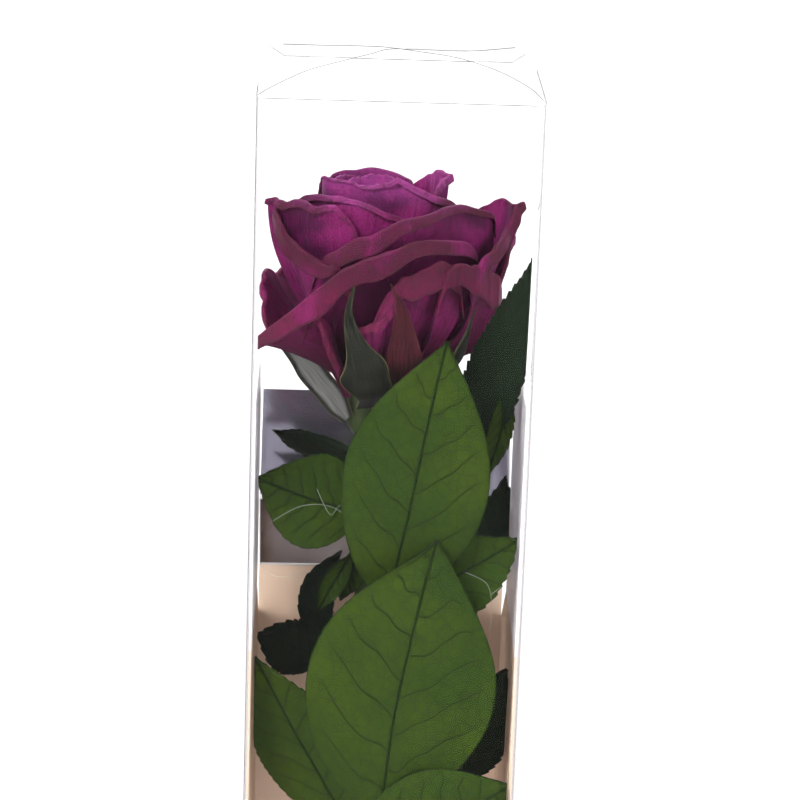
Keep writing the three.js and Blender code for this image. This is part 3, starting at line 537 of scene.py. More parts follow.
def petal_paint(colours):
    """Velvet: maroon low down and on the rims, bright purple round the heart, with fine dark creases. Low
    down the tone is partly painted light. The higher rims, the claws and the bloom's foot carry painted
    shade. The top and the heart carry painted highlight, though round the heart the bright purple is partly
    the petals' own colour.
    """
    paint = Paint("velvet petal", Roughness=0.55, Sheen_Weight=0.14, Sheen_Roughness=0.35,
                  Sheen_Tint=(0.85, 0.16, 0.55), Specular_IOR_Level=0.09)
    across, along = paint.attributes("across", "along")
    height = paint.along("Z")
    tone = paint.noise(75, 4, 0.6, warp=0.4)
    veins = paint.flat_noise(across * 1.1, along * 1.3, 1.9, 4)
    vein_mask = (1 - abs(veins * 2 - 1)).ramp(0.84, 0.99)
    creases = paint.noise(420, 5, 0.65, warp=0.8)
    grain = paint.noise(1500, 3)
    # Painted highlight on the top of the bloom and round the heart. Round the heart it is partly the petals'
    # own brighter colour.
    painted_highlight = (height.ramp(*TOP_HIGHLIGHT) * 0.5).most(paint.from_point(HEART).ramp(*HEART_TONE_AND_HIGHLIGHT))
    # The lower half's redder tone, partly painted light that lifts its shade.
    low = (height + tone * 0.012).ramp(*LOW_TONE_AND_LIGHT)
    # The rims' colour, darker higher up: painted shade against the light from above.
    rim = paint.mix(height.ramp(*SHADED_HIGH_RIMS) * 0.6, colours.petal_rim, colours.petal_edge)
    colour = paint.coated(
        colours.petal_deep,
        (tone.ramp(0.36, 0.66), colours.petal_bright),
        (low * 0.7, colours.petal_low),
        # Painted shade towards the claws, deep in the bloom, in the veins' colour.
        (along.ramp(*CLAW_SHADE) * 0.45, colours.petal_vein),
        (along.ramp(*ROLLED_RIM) * tone.ramp(0.7, 0.45).most(0.4), rim),
        (creases.ramp(0.58, 0.72) * 0.5, colours.petal_vein),
        (vein_mask * 0.4, colours.petal_vein),
        (painted_highlight * (0.3 + tone * 0.7), colours.petal_heart),
        # Painted shade at the bloom's foot, in the edges' colour.
        (height.ramp(*FOOT_SHADE) * 0.8, colours.petal_edge),
        (creases.ramp(0.48, 0.7) * along.ramp(*CREASED_RIM) * 0.65, colours.petal_edge),
        (along.ramp(*LIP) * 0.8, colours.petal_edge),
        (grain.ramp(0.46, 0.66) * 0.35, colours.petal_vein))
    return paint.finish(colour, relief=grain * 0.12 + veins * 0.35 + creases * 0.45, depth=0.00035)


# Blades: leaflets and sepals.
def blade_grid(line, face, width, fold, outline, across, v, curl, wave, seed, twist=0.0):
    """A blade's middle surface: across runs from -1 to 1 between its margins, v from 0 at its foot to 1 at
    its tip, and outline gives the share of the width that each margin reaches. curl turns the margins back,
    wave is the height in millimetres of their waves, and twist is in degrees from foot to tip."""
    def centre(t):
        return np.stack([through([point[k] for point in line], t) for k in range(3)], axis=-1)

    step = 0.02
    run = unit(centre(np.minimum(v + step, 1)) - centre(np.maximum(v - step, 0)))
    side = np.cross(run, np.broadcast_to(unit(np.array(face, float)), run.shape))
    up = np.cross(side, run)
    turn = np.radians(twist) * v[..., None] + 0 * run
    side, up = np.cos(turn) * side + np.sin(turn) * up, np.cos(turn) * up - np.sin(turn) * side
    reach = width / 2 * outline
    lift = np.abs(across) * reach * fold - curl * reach * across ** 2 * np.abs(across)
    lift = lift + wave * swell(0.6 * across, v, seed, reach=2.2) * (0.3 + 0.7 * np.abs(across))
    points = centre(v) + side * (across * reach)[..., None] + up * lift[..., None]
    return points, run


# Each leaflet: its green, its width, how far its halves fold up, the height of its margins' waves, the depth
# of its saw teeth, the way its upper face looks, and the points of its midrib from foot to tip.
# Leaflets that lie in shade take the darker green: painted shade.
LEAFLETS = {
    "leaflet_front_upper": ("leaves", 38, 0.05, 0.5, 0.12, (0, -1, 0.1), (
        (0.9, -25.5, 268.8), (5, -30.2, 292.4), (8.8, -31.9, 316), (13.2, -31, 339.5))),
    "leaflet_front_middle": ("leaves", 49, 0.02, 0.5, 0.12, (0, -1, 0), (
        (0.8, -29.5, 212), (3.1, -31.5, 237.3), (7.2, -32.8, 262.7), (12.5, -32.8, 288))),
    "leaflet_front_lower": ("leaves", 33, 0, 0.5, 0.12, (0, -1, 0), (
        (-2.9, -31.5, 197.4), (16.1, -33, 209.8), (34.2, -33.2, 221.8))),
    "leaflet_left_upper": ("leaves", 25, 0.1, 0.5, 0.4, (0.1, -1, 0.2), (
        (-6, -16.5, 289), (-19.5, -18.2, 293), (-33.4, -20.2, 299))),
    "leaflet_left_dark": ("leaves_dark", 10, 0.1, 0.5, 0.5, (0, 1, 0.35), (
        (-7.5, 3, 297), (-20.2, 7, 299.2), (-30, 8, 302.8))),
    "leaflet_right_upper": ("leaves_dark", 16, 0.08, 0.5, 0.9, (0.3, 0.95, 0), (
        (17.5, -7.5, 292), (23.6, -12, 315), (29.2, -16.6, 337), (34.2, -21, 358.4))),
    "leaflet_right_pale": ("leaves", 8, 0.1, 0.2, 0.6, (0.4, -0.9, 0.2), (
        (29.6, -13, 322), (28, -14, 309.5), (24.4, -14, 297.6))),
    "leaflet_right_back": ("leaves_dark", 12, 0.1, 0.5, 0.8, (0.2, 1, 0.2), (
        (24.5, 5, 264), (27.6, 5.6, 273.2), (30, 6.6, 282.4), (31.4, 7, 292))),
    "leaflet_right_middle": ("leaves", 23, 0.08, 0.5, 0.7, (0, -1, 0.1), (
        (0, -21.5, 265.2), (17.4, -24.6, 275.2), (34.2, -27, 287))),
    "leaflet_small_front": ("leaves", 6.4, 0.2, 0.15, 0.3, (0, -1, 0.2), (
        (-9, -11, 275), (-13.2, -12, 267.6), (-17.2, -12.5, 260))),
    "leaflet_small_back": ("leaves", 8, 0.2, 0.15, 0.3, (0, -1, 0.2), (
        (-6.4, -7.5, 276), (-8.8, -8.5, 269), (-11.2, -9, 262))),
    "leaflet_left_shade": ("leaves_dark", 10, 0.1, 0.3, 0.5, (0, 1, 0), (
        (-14, 4, 242), (-17.4, 5, 252), (-16.4, 5, 262), (-11.2, 4, 271))),
    "leaflet_left_serrate": ("leaves_dark", 18, 0.1, 0.5, 0.8, (0, 1, 0.1), (
        (-15.6, 0.4, 241.6), (-24, 1, 244.6), (-33, 1.6, 247.6))),
    "leaflet_left_lower": ("leaves", 29, 0.06, 0.5, 0.7, (-0.35, -1, 0), (
        (-7, -19, 202), (-19.8, -21.2, 226), (-32.8, -24, 251.6))),
    "leaflet_right_shade": ("leaves_dark", 24, 0.1, 0.5, 0.8, (0, 1, 0), (
        (12.7, -13, 210.5), (23, -17, 229), (32.4, -19, 248))),
    "leaflet_left_low": ("leaves", 24, 0.08, 0.5, 0.8, (0, -1, 0.3), (
        (-11, -20, 193), (-21, -22, 190), (-32, -23, 184))),
    "leaflet_right_low": ("leaves", 24, 0.08, 0.5, 0.8, (0.1, -1, 0.3), (
        (-5, -14, 187), (12, -19, 184), (30, -24, 176))),
    "leaflet_back": ("leaves_dark", 26, 0.08, 0.5, 0.8, (0, 1, 0.1), (
        (0, 4.6, 226), (8, 12, 250), (14, 15, 276))),
}

# Each sepal: its finish, its width, how far it twists in degrees, the way its inner face looks, and the
# points of its midrib from foot to tip.
SEPALS = {
    "sepal_front": ("sepals", 12, 0, (-0.15, 1, 0.4), (
        (-6.1, -8, 314.6), (-5, -24, 322.1), (-5.7, -29.2, 327.3), (-6.8, -31.8, 332), (-8.5, -33, 336.4),
        (-10.3, -33.4, 341.1), (-11.3, -33.5, 347), (-10.2, -33.5, 353.3))),
    "sepal_left": ("sepals", 9, 50, (-0.1, -1, 0.3), (
        (-10.8, -5.8, 311), (-15.4, -7.8, 317.8), (-20.8, -10, 325.6), (-26.6, -10.6, 332),
        (-31.4, -8.2, 337.6), (-33, -5, 344))),
    "sepal_dried": ("dried_sepal", 8.4, 0, (0.1, 1, 0.4), (
        (0.8, -9, 317), (2.6, -18, 322), (2.9, -26, 329.5), (2.6, -30.6, 337), (2.2, -32.8, 343.5),
        (1.4, -33.4, 348.5), (0.2, -33.6, 351.5), (-1.2, -33.6, 354.4))),
    "sepal_right": ("sepals", 5.5, 0, (-0.7, 0.7, 0.5), (
        (-1, -3.5, 316), (8, -9, 319), (15, -16.4, 328), (17.6, -20.4, 335.7), (19, -22.4, 341.4),
        (20.2, -23.4, 345.6))),
    "sepal_back": ("sepals", 7.5, 0, (0.5, -0.8, 0.4), (
        (-8, 5, 314), (-12, 15, 317), (-17, 24, 325), (-20, 30, 336), (-20.6, 32, 346))),
}

# The middle lines of the stem and of the leaf stalks.
STEM_LINE = ((1.5, 3, 1.2), (-1, 2, 110), (-4, 0, 210), (-5.5, -0.6, 270), (-6.5, -1, 309))
LOWEST_PRICKLE = (1.2, 2.9, 12)
STALKS = {
    "stalk_upper": ((-5.2, -4.3, 250), (-5.4, -9, 259), (-5.4, -17, 266), (-5.2, -24.6, 269)),
    "stalk_middle": ((-4, -3.6, 196), (-3, -9, 203), (-1.4, -18, 210), (0.2, -28.4, 213.5)),
    "stalk_lower": ((-3.6, -3.2, 178), (-5.5, -10, 186), (-9, -20, 194), (-13, -30.6, 200)),
    "stalk_right": ((-1.8, -0.4, 262), (4, -0.8, 272), (12, -4, 281), (19, -8, 289)),
    "stalk_left": ((-8.2, 1.2, 232), (-11, 1, 238), (-14, 0.6, 241)),
}

# A leaflet's curl, its pairs of veins, how much closer its grid's columns stand at the midrib, the share of
# its length at each end where its teeth die away, how closely they keep to the margin, and their lean.
LEAF_CURL = 0.06
VEINS = 7
MIDRIB_CROWDING = 1.25
TOOTHLESS_END = 0.08
MARGIN_POWER = 6
TOOTH_LEAN = 0.35


def make_leaves(sizes, colours):
    back, rib = colours.leaf_back, colours.leaf_rib
    greens = {
        "leaves": leaf_paint("leaf", colours.leaf, back, colours.leaf_shade, rib),
        # The darker green is painted shade for the leaflets that lie in shade.
        "leaves_dark": leaf_paint("dark leaf", colours.dark_leaf, back, back, rib)}
    across = np.linspace(-1, 1, LEAF_COLUMNS)
    across = (np.sign(across) * np.abs(across) ** MIDRIB_CROWDING)[None, :]
    off_middle, right_half = np.abs(across), 1.0 * (across > 0)
    for number, (name, (green, width, fold, wave, tooth, face, line)) in enumerate(LEAFLETS.items()):
        seed = sizes.seed + LEAF_SEEDS + 10 * number
        straight = np.linalg.norm(np.subtract(line[-1], line[0]))
        teeth = max(FEWEST_TEETH, round(straight / (sizes.tooth_pitch / MM)))
        v = np.linspace(0, 1, teeth * STEPS_A_TOOTH + 1)[:, None]
        whole = np.maximum(0.03, np.sin(math.pi * v ** 0.88) ** (0.65 + 0.35 * v))
        climb = (v * teeth + 0.5 * right_half + 0.25 * swell(0 * across, v, seed + 1, reach=4.0)) % 1.0
        cut = tooth * (1 - climb ** 0.7) * ease(np.minimum(v, 1 - v) / TOOTHLESS_END)
        outline = np.maximum(whole - cut * off_middle ** MARGIN_POWER / (width / 2), 0.02)
        outline = outline * (1 + 0.03 * swell(right_half, v, seed + 2, reach=1.5))
        points, run = blade_grid(line, face, width, fold, outline, across, v, LEAF_CURL, wave, seed + 3)
        points += run * (TOOTH_LEAN * tooth * climb * off_middle ** MARGIN_POWER)[..., None]
        length = np.linalg.norm(np.diff([line[0], line[len(line) // 2], line[-1]], axis=0), axis=1).sum()
        reach = width / 2 * whole
        spread = 0.17 * off_middle ** 1.35 + 0.1 * off_middle
        veins = (v - spread * whole + 0.012 * swell(across, v, seed + 4)) * VEINS + 0.45 * right_half
        blade = thin_sheet(name + "_blade", kept_in(points), sizes.leaf_thickness / MM, greens[green], {
            "off_rib": off_middle * reach, "across": off_middle, "veins": veins,
            "vein_step": length / VEINS, "margin": np.minimum((1 - off_middle) * reach, (1 - v) * length)})
        placed(blade, green, name)


def leaf_paint(name, front, back, shade, rib):
    """A leaf's skin: front and back greens, the shade of its darker patches, and the colour of its ribs.
    Distances from ribs, veins and margins are in millimetres."""
    paint = Paint(name, Specular_IOR_Level=0.06)
    off_rib, across, veins, step, margin, facing = paint.attributes(
        "off_rib", "across", "veins", "vein_step", "margin", "face")
    patches = paint.noise(38, 4, 0.6)
    mottle = paint.noise(420, 4, 0.65)
    phase = veins.fract()
    vein_gap = abs(phase - 0.5) * step
    vein = vein_gap.ramp(0.45, 0.2) * across.ramp(1.0, 0.7)
    arc = abs(across - 0.66 - (phase * math.pi).wave() * 0.16) * off_rib / across.most(0.2)
    loop = arc.ramp(0.3, 0.08) * 0.4
    coarse = paint.cells(360).ramp(0.07, 0.015)
    net = paint.cells(1100).ramp(0.11, 0.02)
    lines = vein.most(loop).most(coarse * 0.5).most(net * 0.4)
    halo = vein_gap.ramp(1.1, 0.3) * across.ramp(0.95, 0.6)
    midrib = off_rib.ramp(0.5, 0.26)
    colour = paint.coated(
        shade, (patches.ramp(0.35, 0.68), front), (mottle.ramp(0.55, 0.8) * 0.3, rib), (lines * 0.9, rib),
        (halo * 0.12, front), (midrib * 0.9, rib), ((margin + mottle * 0.4).ramp(0.75, 0.3) * 0.85, rib))
    underside = paint.mix(lines.most(midrib) * 0.35, back, front)
    ribs = vein.most(loop) * 0.5 + coarse * 0.2 + net * 0.08 + midrib * 0.6 + halo * 0.2
    relief = 1 - ribs + mottle * 0.25
    gloss = 0.46 + mottle * 0.16 + lines * 0.06
    return paint.finish(paint.mix(facing, underside, colour), gloss, relief, 0.0003)


# The share of a sepal's width along it, from its foot to its long drawn tip, its thickness at both, how far
# its halves fold up and its margins curl back, and the height of their waves.
SEPAL_OUTLINE = (0.5, 0.8, 1.0, 0.96, 0.76, 0.5, 0.28, 0.14, 0.05)
SEPAL_FOOT, SEPAL_TIP = 0.55, 0.3
SEPAL_FOLD, SEPAL_CURL, SEPAL_WAVE = 0.1, 0.05, 0.3


def make_sepals(sizes, colours):
    dried = colours.dried
    finishes = {
        "sepals": sepal_paint("sepal", colours.sepal_inner, colours.sepal_outer, colours.sepal_margin),
        "dried_sepal": sepal_paint("dried sepal", times(dried, 1.5), dried, dried)}
    across = np.linspace(-1, 1, SEPAL_COLUMNS)[None, :]
    v = np.linspace(0, 1, SEPAL_ROWS)[:, None]
    for number, (name, (finish, width, twist, face, line)) in enumerate(SEPALS.items()):
        seed = sizes.seed + SEPAL_SEEDS + 10 * number
        outline = through(SEPAL_OUTLINE, v) * (1 + 0.12 * swell(1.0 * (across > 0), v, seed, reach=3.5))
        points, _ = blade_grid(
            line, face, width, SEPAL_FOLD, outline, across, v, SEPAL_CURL, SEPAL_WAVE, seed + 1, twist)
        reach = width / 2 * outline
        blade = thin_sheet(
            name + "_blade", kept_in(points), lerp(SEPAL_FOOT, SEPAL_TIP, v), finishes[finish],
            {"along": v, "margin": (1 - np.abs(across)) * reach, "sideways": across * reach})
        placed(blade, finish, name)


def sepal_paint(name, inner, outer, margin_colour):
    """A sepal's skin: a downy inner side, a dark streaked outer side, and a fringed margin."""
    paint = Paint(name, Roughness=0.7, Specular_IOR_Level=0.1, Sheen_Weight=0.06, Sheen_Roughness=0.4)
    along, margin, sideways, facing = paint.attributes("along", "margin", "sideways", "face")
    fibres = paint.flat_noise(sideways * 0.8, along * 2, 2.4, 4)
    tone = paint.noise(160, 3)
    # Pale flecks on the outer side, partly its hairs and partly painted glints.
    flecks_and_glints = fibres.ramp(0.36, 0.26) * tone.ramp(0.45, 0.6)
    inside = paint.coated(
        inner, (fibres.ramp(0.35, 0.75) * 0.55, times(inner, 0.35)),
        ((margin + tone).ramp(2.4, 1.2) * 0.9, outer))
    outside = paint.coated(
        outer, (tone.ramp(0.35, 0.7), times(outer, 1.9)), (fibres.ramp(0.42, 0.6) * 0.8, times(outer, 0.3)),
        (flecks_and_glints * 0.5, margin_colour))
    fringe = margin.ramp(0.3, 0.08) * (0.3 + fibres * 0.6) * (1 - along.ramp(0.45, 0.75) * 0.7)
    colour = paint.coated(outside, (facing, inside), (fringe, margin_colour))
    return paint.finish(colour, relief=fibres + tone * 0.4, depth=0.00018)


# What follows a line: the stem, the leaf stalks, the prickles and the threads of glue.
class LineTree:
    """A geometry tree that makes a solid from a line, with a number input for each keyword."""

    def __init__(self, name, **numbers):
        self.tree = bpy.data.node_groups.new(name, "GeometryNodeTree")
        self.socket("Geometry", "Geometry")
        self.socket("Geometry", "Geometry", "OUTPUT")
        for key, value in numbers.items():
            kind = "Int" if isinstance(value, int) else "Float"
            self.socket(key.replace("_", " "), kind).default_value = value
        self.socket("Material", "Material")
        self.given = self.tree.nodes.new("NodeGroupInput").outputs
        line = self.add("GeometryNodeMeshToCurve", {0: self.given["Geometry"]})
        self.curve = self.add("GeometryNodeCurveSplineType", {0: line}, spline_type="CATMULL_ROM")

    def socket(self, name, kind, way="INPUT"):
        return self.tree.interface.new_socket(name, in_out=way, socket_type="NodeSocket" + kind)

    def add(self, kind, inputs=None, output=0, **settings):
        """Adds a node and returns its output."""
        return new_node(self.tree, kind, inputs, **settings).outputs[output]

    def maths(self, operation, *values):
        return self.add("ShaderNodeMath", dict(enumerate(values)), operation=operation)

    def finish(self, solid):
        """Ends the tree with a solid of real faces, smooth and in its material."""
        solid = self.add("GeometryNodeRealizeInstances", {0: solid})
        solid = self.add("GeometryNodeSetShadeSmooth", {"Geometry": solid})
        solid = self.add("GeometryNodeSetMaterial", {"Geometry": solid, "Material": self.given["Material"]})
        self.tree.links.new(solid, self.tree.nodes.new("NodeGroupOutput").inputs[0])
        return self.tree


def swept_line_tree():
    """A round rod along a line, swollen unevenly and tapered to its far end."""
    tree = LineTree(
        "Swept line", Radius=0.001, Taper=0.3, Step=0.002, Swelling=0.1, Swelling_Grain=60.0, Sides=12)
    given = tree.given
    curve = tree.add(
        "GeometryNodeResampleCurve", {"Curve": tree.curve, "Length": given["Step"]}, mode="LENGTH")
    taper = tree.maths("MULTIPLY", tree.add("GeometryNodeSplineParameter", output="Factor"), given["Taper"])
    noise = tree.add("ShaderNodeTexNoise", {"Scale": given["Swelling Grain"], "Detail": 2.0})
    swollen = tree.maths("MULTIPLY_ADD", noise, given["Swelling"], tree.maths("SUBTRACT", 1.0, taper))
    ring = tree.add("GeometryNodeCurvePrimitiveCircle", {"Resolution": given["Sides"], "Radius": 1.0})
    return tree.finish(tree.add("GeometryNodeCurveToMesh", {
        "Curve": curve, "Profile Curve": ring, "Scale": tree.maths("MULTIPLY", swollen, given["Radius"]),
        "Fill Caps": True}))


PRICKLE_POINT = 0.00008
PRICKLE_LEAN = math.radians(98)


def prickles_tree():
    """Prickles scattered along a line: leaning cones whose feet sit on the stem."""
    tree = LineTree("Prickles", Count=16, Length=0.003, Foot=0.0011, Sink=0.002, Seed=5)
    given = tree.given
    line = {"Curve": tree.curve, "Count": given["Count"]}
    spots = new_node(tree.tree, "GeometryNodeCurveToPoints", line, mode="COUNT")
    cone = tree.add("GeometryNodeMeshCone", {
        "Vertices": 8, "Side Segments": 3, "Radius Top": PRICKLE_POINT, "Radius Bottom": given["Foot"],
        "Depth": given["Length"]})
    lift = tree.add("ShaderNodeCombineXYZ", {2: given["Sink"]})
    cone = tree.add("GeometryNodeTransform", {"Geometry": cone, "Translation": lift})
    # The Random Value node's numbers are its sockets 2 and 3, and its output 1.
    around = tree.add(
        "FunctionNodeRandomValue", {2: 0.0, 3: 2 * math.pi, "Seed": given["Seed"]}, 1, data_type="FLOAT")
    lean = tree.add("ShaderNodeCombineXYZ", {0: PRICKLE_LEAN, 2: around})
    lean = tree.add("FunctionNodeEulerToRotation", {0: lean})
    turn = tree.add(
        "FunctionNodeRotateRotation", {0: spots.outputs["Rotation"], 1: lean}, rotation_space="LOCAL")
    return tree.finish(tree.add("GeometryNodeInstanceOnPoints", {
        "Points": spots.outputs["Points"], "Instance": cone, "Rotation": turn}))


def along_line(name, tree, lines, material, **inputs):
    """A mesh that a geometry tree makes from lines of points in millimetres."""
    vertices, edges = [], []
    for line in lines:
        start = len(vertices)
        vertices += [Vector(point) * MM for point in line]
        edges += [(start + i, start + i + 1) for i in range(len(line) - 1)]
    mesh = bpy.data.meshes.new(name + "_line")
    mesh.from_pydata(vertices, edges, [])
    carrier = in_scene(name + "_line", mesh)
    modifier = carrier.modifiers.new("tree", "NODES")
    modifier.node_group = tree
    inputs["Material"] = material
    for item in tree.interface.items_tree:
        key = item.name.replace(" ", "_")
        if item.in_out == "INPUT" and key in inputs:
            modifier[item.identifier] = inputs[key]
    made = bpy.data.meshes.new_from_object(carrier.evaluated_get(bpy.context.evaluated_depsgraph_get()))
    made.name = name
    bpy.data.objects.remove(carrier)
    return in_scene(name, made)


def make_stem(sizes, colours):
    material = stem_paint(colours)
    tree = swept_line_tree()
    rod = along_line("stem_rod", tree, [STEM_LINE], material, Radius=sizes.stem_radius, Taper=0.12,
                     Step=0.0025, Swelling=0.16, Swelling_Grain=45.0, Sides=20)
    placed(rod, "stem", "stem")
    placed(make_hip(material), "stem")
    thorny_stem = [LOWEST_PRICKLE, *STEM_LINE[1:4]]
    prickles = along_line("prickles", prickles_tree(), [thorny_stem], material, Count=sizes.prickles,
                          Length=sizes.prickle_length, Foot=0.0012,
                          Sink=sizes.stem_radius + 0.4 * sizes.prickle_length, Seed=sizes.seed)
    placed(prickles, "stem")
    for name, line in STALKS.items():
        stalk = along_line(name + "_rod", tree, [line], material, Radius=sizes.stalk_radius, Taper=0.3,
                           Step=0.001, Swelling=0.2, Swelling_Grain=150.0, Sides=12)
        placed(stalk, "stem", name)


HIP_FOOT, HIP_HEIGHT, HIP_RADIUS = 306.0, 11.0, 5.2
HIP_NECK = 0.42
HIP_LOBES, HIP_LOBE_DEPTH = 5, 0.025


def make_hip(material):
    """The swollen hip under the petals, with soft lobes."""
    v = np.linspace(0, 1, HIP_ROWS)[:, None]
    turn = np.linspace(0, 2 * math.pi, HIP_COLUMNS, endpoint=False)[None, :]
    belly = np.sin(math.pi * np.clip(v * 0.82 + 0.06, 0, 1)) ** 0.8
    radius = HIP_RADIUS * (HIP_NECK + (1 - HIP_NECK) * belly)
    radius = radius * (1 + HIP_LOBE_DEPTH * np.cos(HIP_LOBES * turn))
    return closed_tube("hip", grid(
        BLOOM_AXIS[0] + radius * np.cos(turn), BLOOM_AXIS[1] + radius * np.sin(turn),
        HIP_FOOT + HIP_HEIGHT * v), material)


def stem_paint(colours):
    paint = Paint("woody stem", Specular_IOR_Level=0.3)
    streaks = paint.noise(260, 4, 0.6, over=paint.stretched((1, 1, 0.12)))
    spots = paint.noise(900, 3, 0.6)
    colour = paint.coated(
        colours.stem, (streaks.ramp(0.35, 0.7), times(colours.stem, 0.45)),
        (spots.ramp(0.62, 0.72) * 0.5, colours.dried))
    return paint.finish(colour, 0.55 + spots * 0.2, streaks + spots * 0.3, 0.0003)


# Fine white threads of glue that cling to the leaves, each a line of points.
THREADS = (
    ((-29, -24.5, 289), (-22, -25.5, 293.5), (-15, -26, 294), (-9, -27, 291)),
    ((-18, -22, 297), (-14.5, -24, 291), (-12, -25.5, 294), (-8, -27, 293.5)),
    ((20, -33.8, 280), (25.5, -33.9, 277), (27, -33.8, 270), (26.5, -33.6, 263)),
    ((-33, -24, 279), (-28, -25.6, 274.5), (-19, -26, 276)),
    ((27, -28, 272), (30, -27.4, 274), (33, -27, 273)),
)
THREAD_TONES = (0.30, 0.33, 0.27), (0.48, 0.48, 0.45)


def make_threads(sizes):
    paint = Paint("glue thread", Roughness=0.4, Specular_IOR_Level=0.5)
    material = paint.finish(paint.mix(paint.noise(300, 2), *THREAD_TONES))
    threads = along_line("threads", swept_line_tree(), THREADS, material, Radius=sizes.thread_radius,
                         Taper=0.5, Step=0.0005, Swelling=0.8, Swelling_Grain=900.0, Sides=6)
    placed(threads, "sepals")


# The folded mirror card.
def rounded_line(corners, radius, steps=6):
    """A line through corner points, each inner corner rounded to the radius."""
    corners = [np.array(corner, float) for corner in corners]
    line = [corners[0]]
    for before, corner, after in zip(corners, corners[1:], corners[2:]):
        start = corner + unit(before - corner) * radius
        end = corner + unit(after - corner) * radius
        for t in np.linspace(0, 1, steps):
            line.append((1 - t) ** 2 * start + 2 * t * (1 - t) * corner + t * t * end)
    line.append(corners[-1])
    return np.array(line)


CARD_BOW, CARD_BOW_WIDTH, CARD_SEED = 0.25, 70, 901
FOLD_ROOM = 3
FLAP_BEVEL = 0.0001


def make_card(sizes, colours):
    material = card_paint(colours)
    side, back = CARD_HIGH[:2]
    front, foot = CARD_LOW[1:]
    middle = back - CARD / 2
    line = rounded_line([
        (middle, foot), (middle, RIDGE_FOOT), (back - RIDGE_DEPTH, RIDGE_HEIGHT), (middle, CARD_TOP)],
        sizes.fold_radius / MM)
    straight = [(middle, z) for z in np.linspace(foot, RIDGE_FOOT - FOLD_ROOM, CARD_STEPS)[1:-1]]
    line = np.concatenate([line[:1], straight, line[1:]])
    x = np.linspace(-side + CARD, side - CARD, CARD_COLUMNS)[None, :]
    along = np.linspace(0, 1, len(line))[:, None]
    points = grid(x, line[:, :1], line[:, 1:])
    across = (x - x[0, 0]) / (x[0, -1] - x[0, 0])
    points[..., 1] += CARD_BOW * np.sin(math.pi * across) * swell(
        x / CARD_BOW_WIDTH, along, CARD_SEED, reach=1.2)
    placed(thin_sheet("card_panel", points, CARD, material, {}), "mirror_card", "mirror_card")
    notch = SIDE_FLAP_NOTCH
    inner = back - notch - FOLD_ROOM
    outline = [
        (front, foot), (back, foot), (back, RIDGE_FOOT - notch), (inner, RIDGE_FOOT),
        (inner, SIDE_FLAP_TOP - notch), (back - 2 * notch, SIDE_FLAP_TOP), (front, SIDE_FLAP_TOP)]
    for name, x in (("left", -side), ("right", side - CARD)):
        rings = np.array([[(x + thick, y, z) for y, z in outline] for thick in (0, CARD)])
        flap = closed_tube("card_flap_" + name, rings, material, smooth=False)
        bevel = flap.modifiers.new("edges", "BEVEL")
        bevel.width = FLAP_BEVEL
        bevel.segments = 2
        placed(flap, "mirror_card")


CARD_GLOW, FOLD_SHINE = (0.9, 0.88, 0.9), (0.95, 0.95, 0.95)
FOLD_BLUR = 0.0006


def card_paint(colours):
    """Metallised card: each folded band catches another part of the room. Above the foot a band's colour is
    partly its own tint and partly a painted reflection of what it faces, and the folds carry a painted
    highlight.
    """
    paint = Paint("mirror card", Specular_IOR_Level=0.5)
    z = paint.along("Z")
    foot, ridge = RIDGE_FOOT * MM, RIDGE_HEIGHT * MM
    flap_inside = (CARD_HIGH[0] - CARD) * MM
    flap = abs(paint.along("X")).ramp(flap_inside - 0.0004, flap_inside - 0.0001)
    cloud = paint.noise(30, 2)
    wear = paint.noise(1500, 2)
    over_foot = z.ramp(foot - FOLD_BLUR, foot)
    over_ridge = z.ramp(ridge - FOLD_BLUR, ridge)
    # Painted highlight along the folds.
    folds = abs(z - ridge).ramp(0.0010, 0.0005).most(abs(z - foot).ramp(0.0005, 0.0002) * 0.6) * (1 - flap)
    # Above the foot the bands' colours are partly the card's tints and partly painted reflection.
    colour = paint.coated(
        colours.card_low, (over_foot, colours.card_middle), (over_ridge, colours.card_high_tint_and_reflection),
        (over_foot * flap, colours.card_flap), (cloud.ramp(0.3, 0.7) * 0.12, CARD_GLOW),
        (folds * 0.9, FOLD_SHINE))
    metal = (0.12 + over_foot * 0.75) * (1 - flap) * (1 - folds)
    rough = 0.34 - over_foot * 0.27 + cloud * 0.06 + wear * 0.02 + flap * 0.25
    return paint.finish(colour, rough, Metallic=metal)


# The clear film case: the outlines of its two lid flaps, from hinge to free edge, and its other sizes. The
# walls stand inside the frame's box by SKIN.
LEFT_LID = (
    (-35, 400), (-30.7, 402.7), (-22.8, 406.6), (-15.1, 409), (-7.7, 411.1), (-3.6, 412.3), (3.1, 412.5),
    (11, 412.4), (17.7, 412.6), (26.6, 413.6))
RIGHT_LID = (
    (35, 400), (30.7, 403.8), (24, 407.3), (17.7, 409.5), (11.5, 411), (4.3, 411.9), (-1.9, 412.6),
    (-7.7, 412.9), (-20.1, 412.8), (-28.8, 412.8))
LID_HALF_DEPTH = 34.2
DUST_FLAP_DEPTH = 12.0
DUST_FLAP_TAPER = 5.0
DUST_FLAP_DROP = 0.6
SKIN = 0.05

# A face within this share of a corner's radius of both its walls counts as the corner's bend.
BEND = 0.75


def square_ring(half, radius, z, side_steps=10, corner_steps=6):
    """Points at a height around a square with rounded corners, counted from one end of its +X side."""
    ring = []
    reach = half - radius
    for corner in range(4):
        turn = corner * math.pi / 2
        along = np.array([-math.sin(turn), math.cos(turn)])
        out = np.array([math.cos(turn), math.sin(turn)])
        for t in np.linspace(-1, 1, side_steps, endpoint=False):
            ring.append((*(out * half + along * reach * t), z))
        centre = out * reach + along * reach
        for t in np.linspace(0, 1, corner_steps, endpoint=False):
            angle = turn + t * math.pi / 2
            ring.append((*(centre + radius * np.array([math.cos(angle), math.sin(angle)])), z))
    return ring


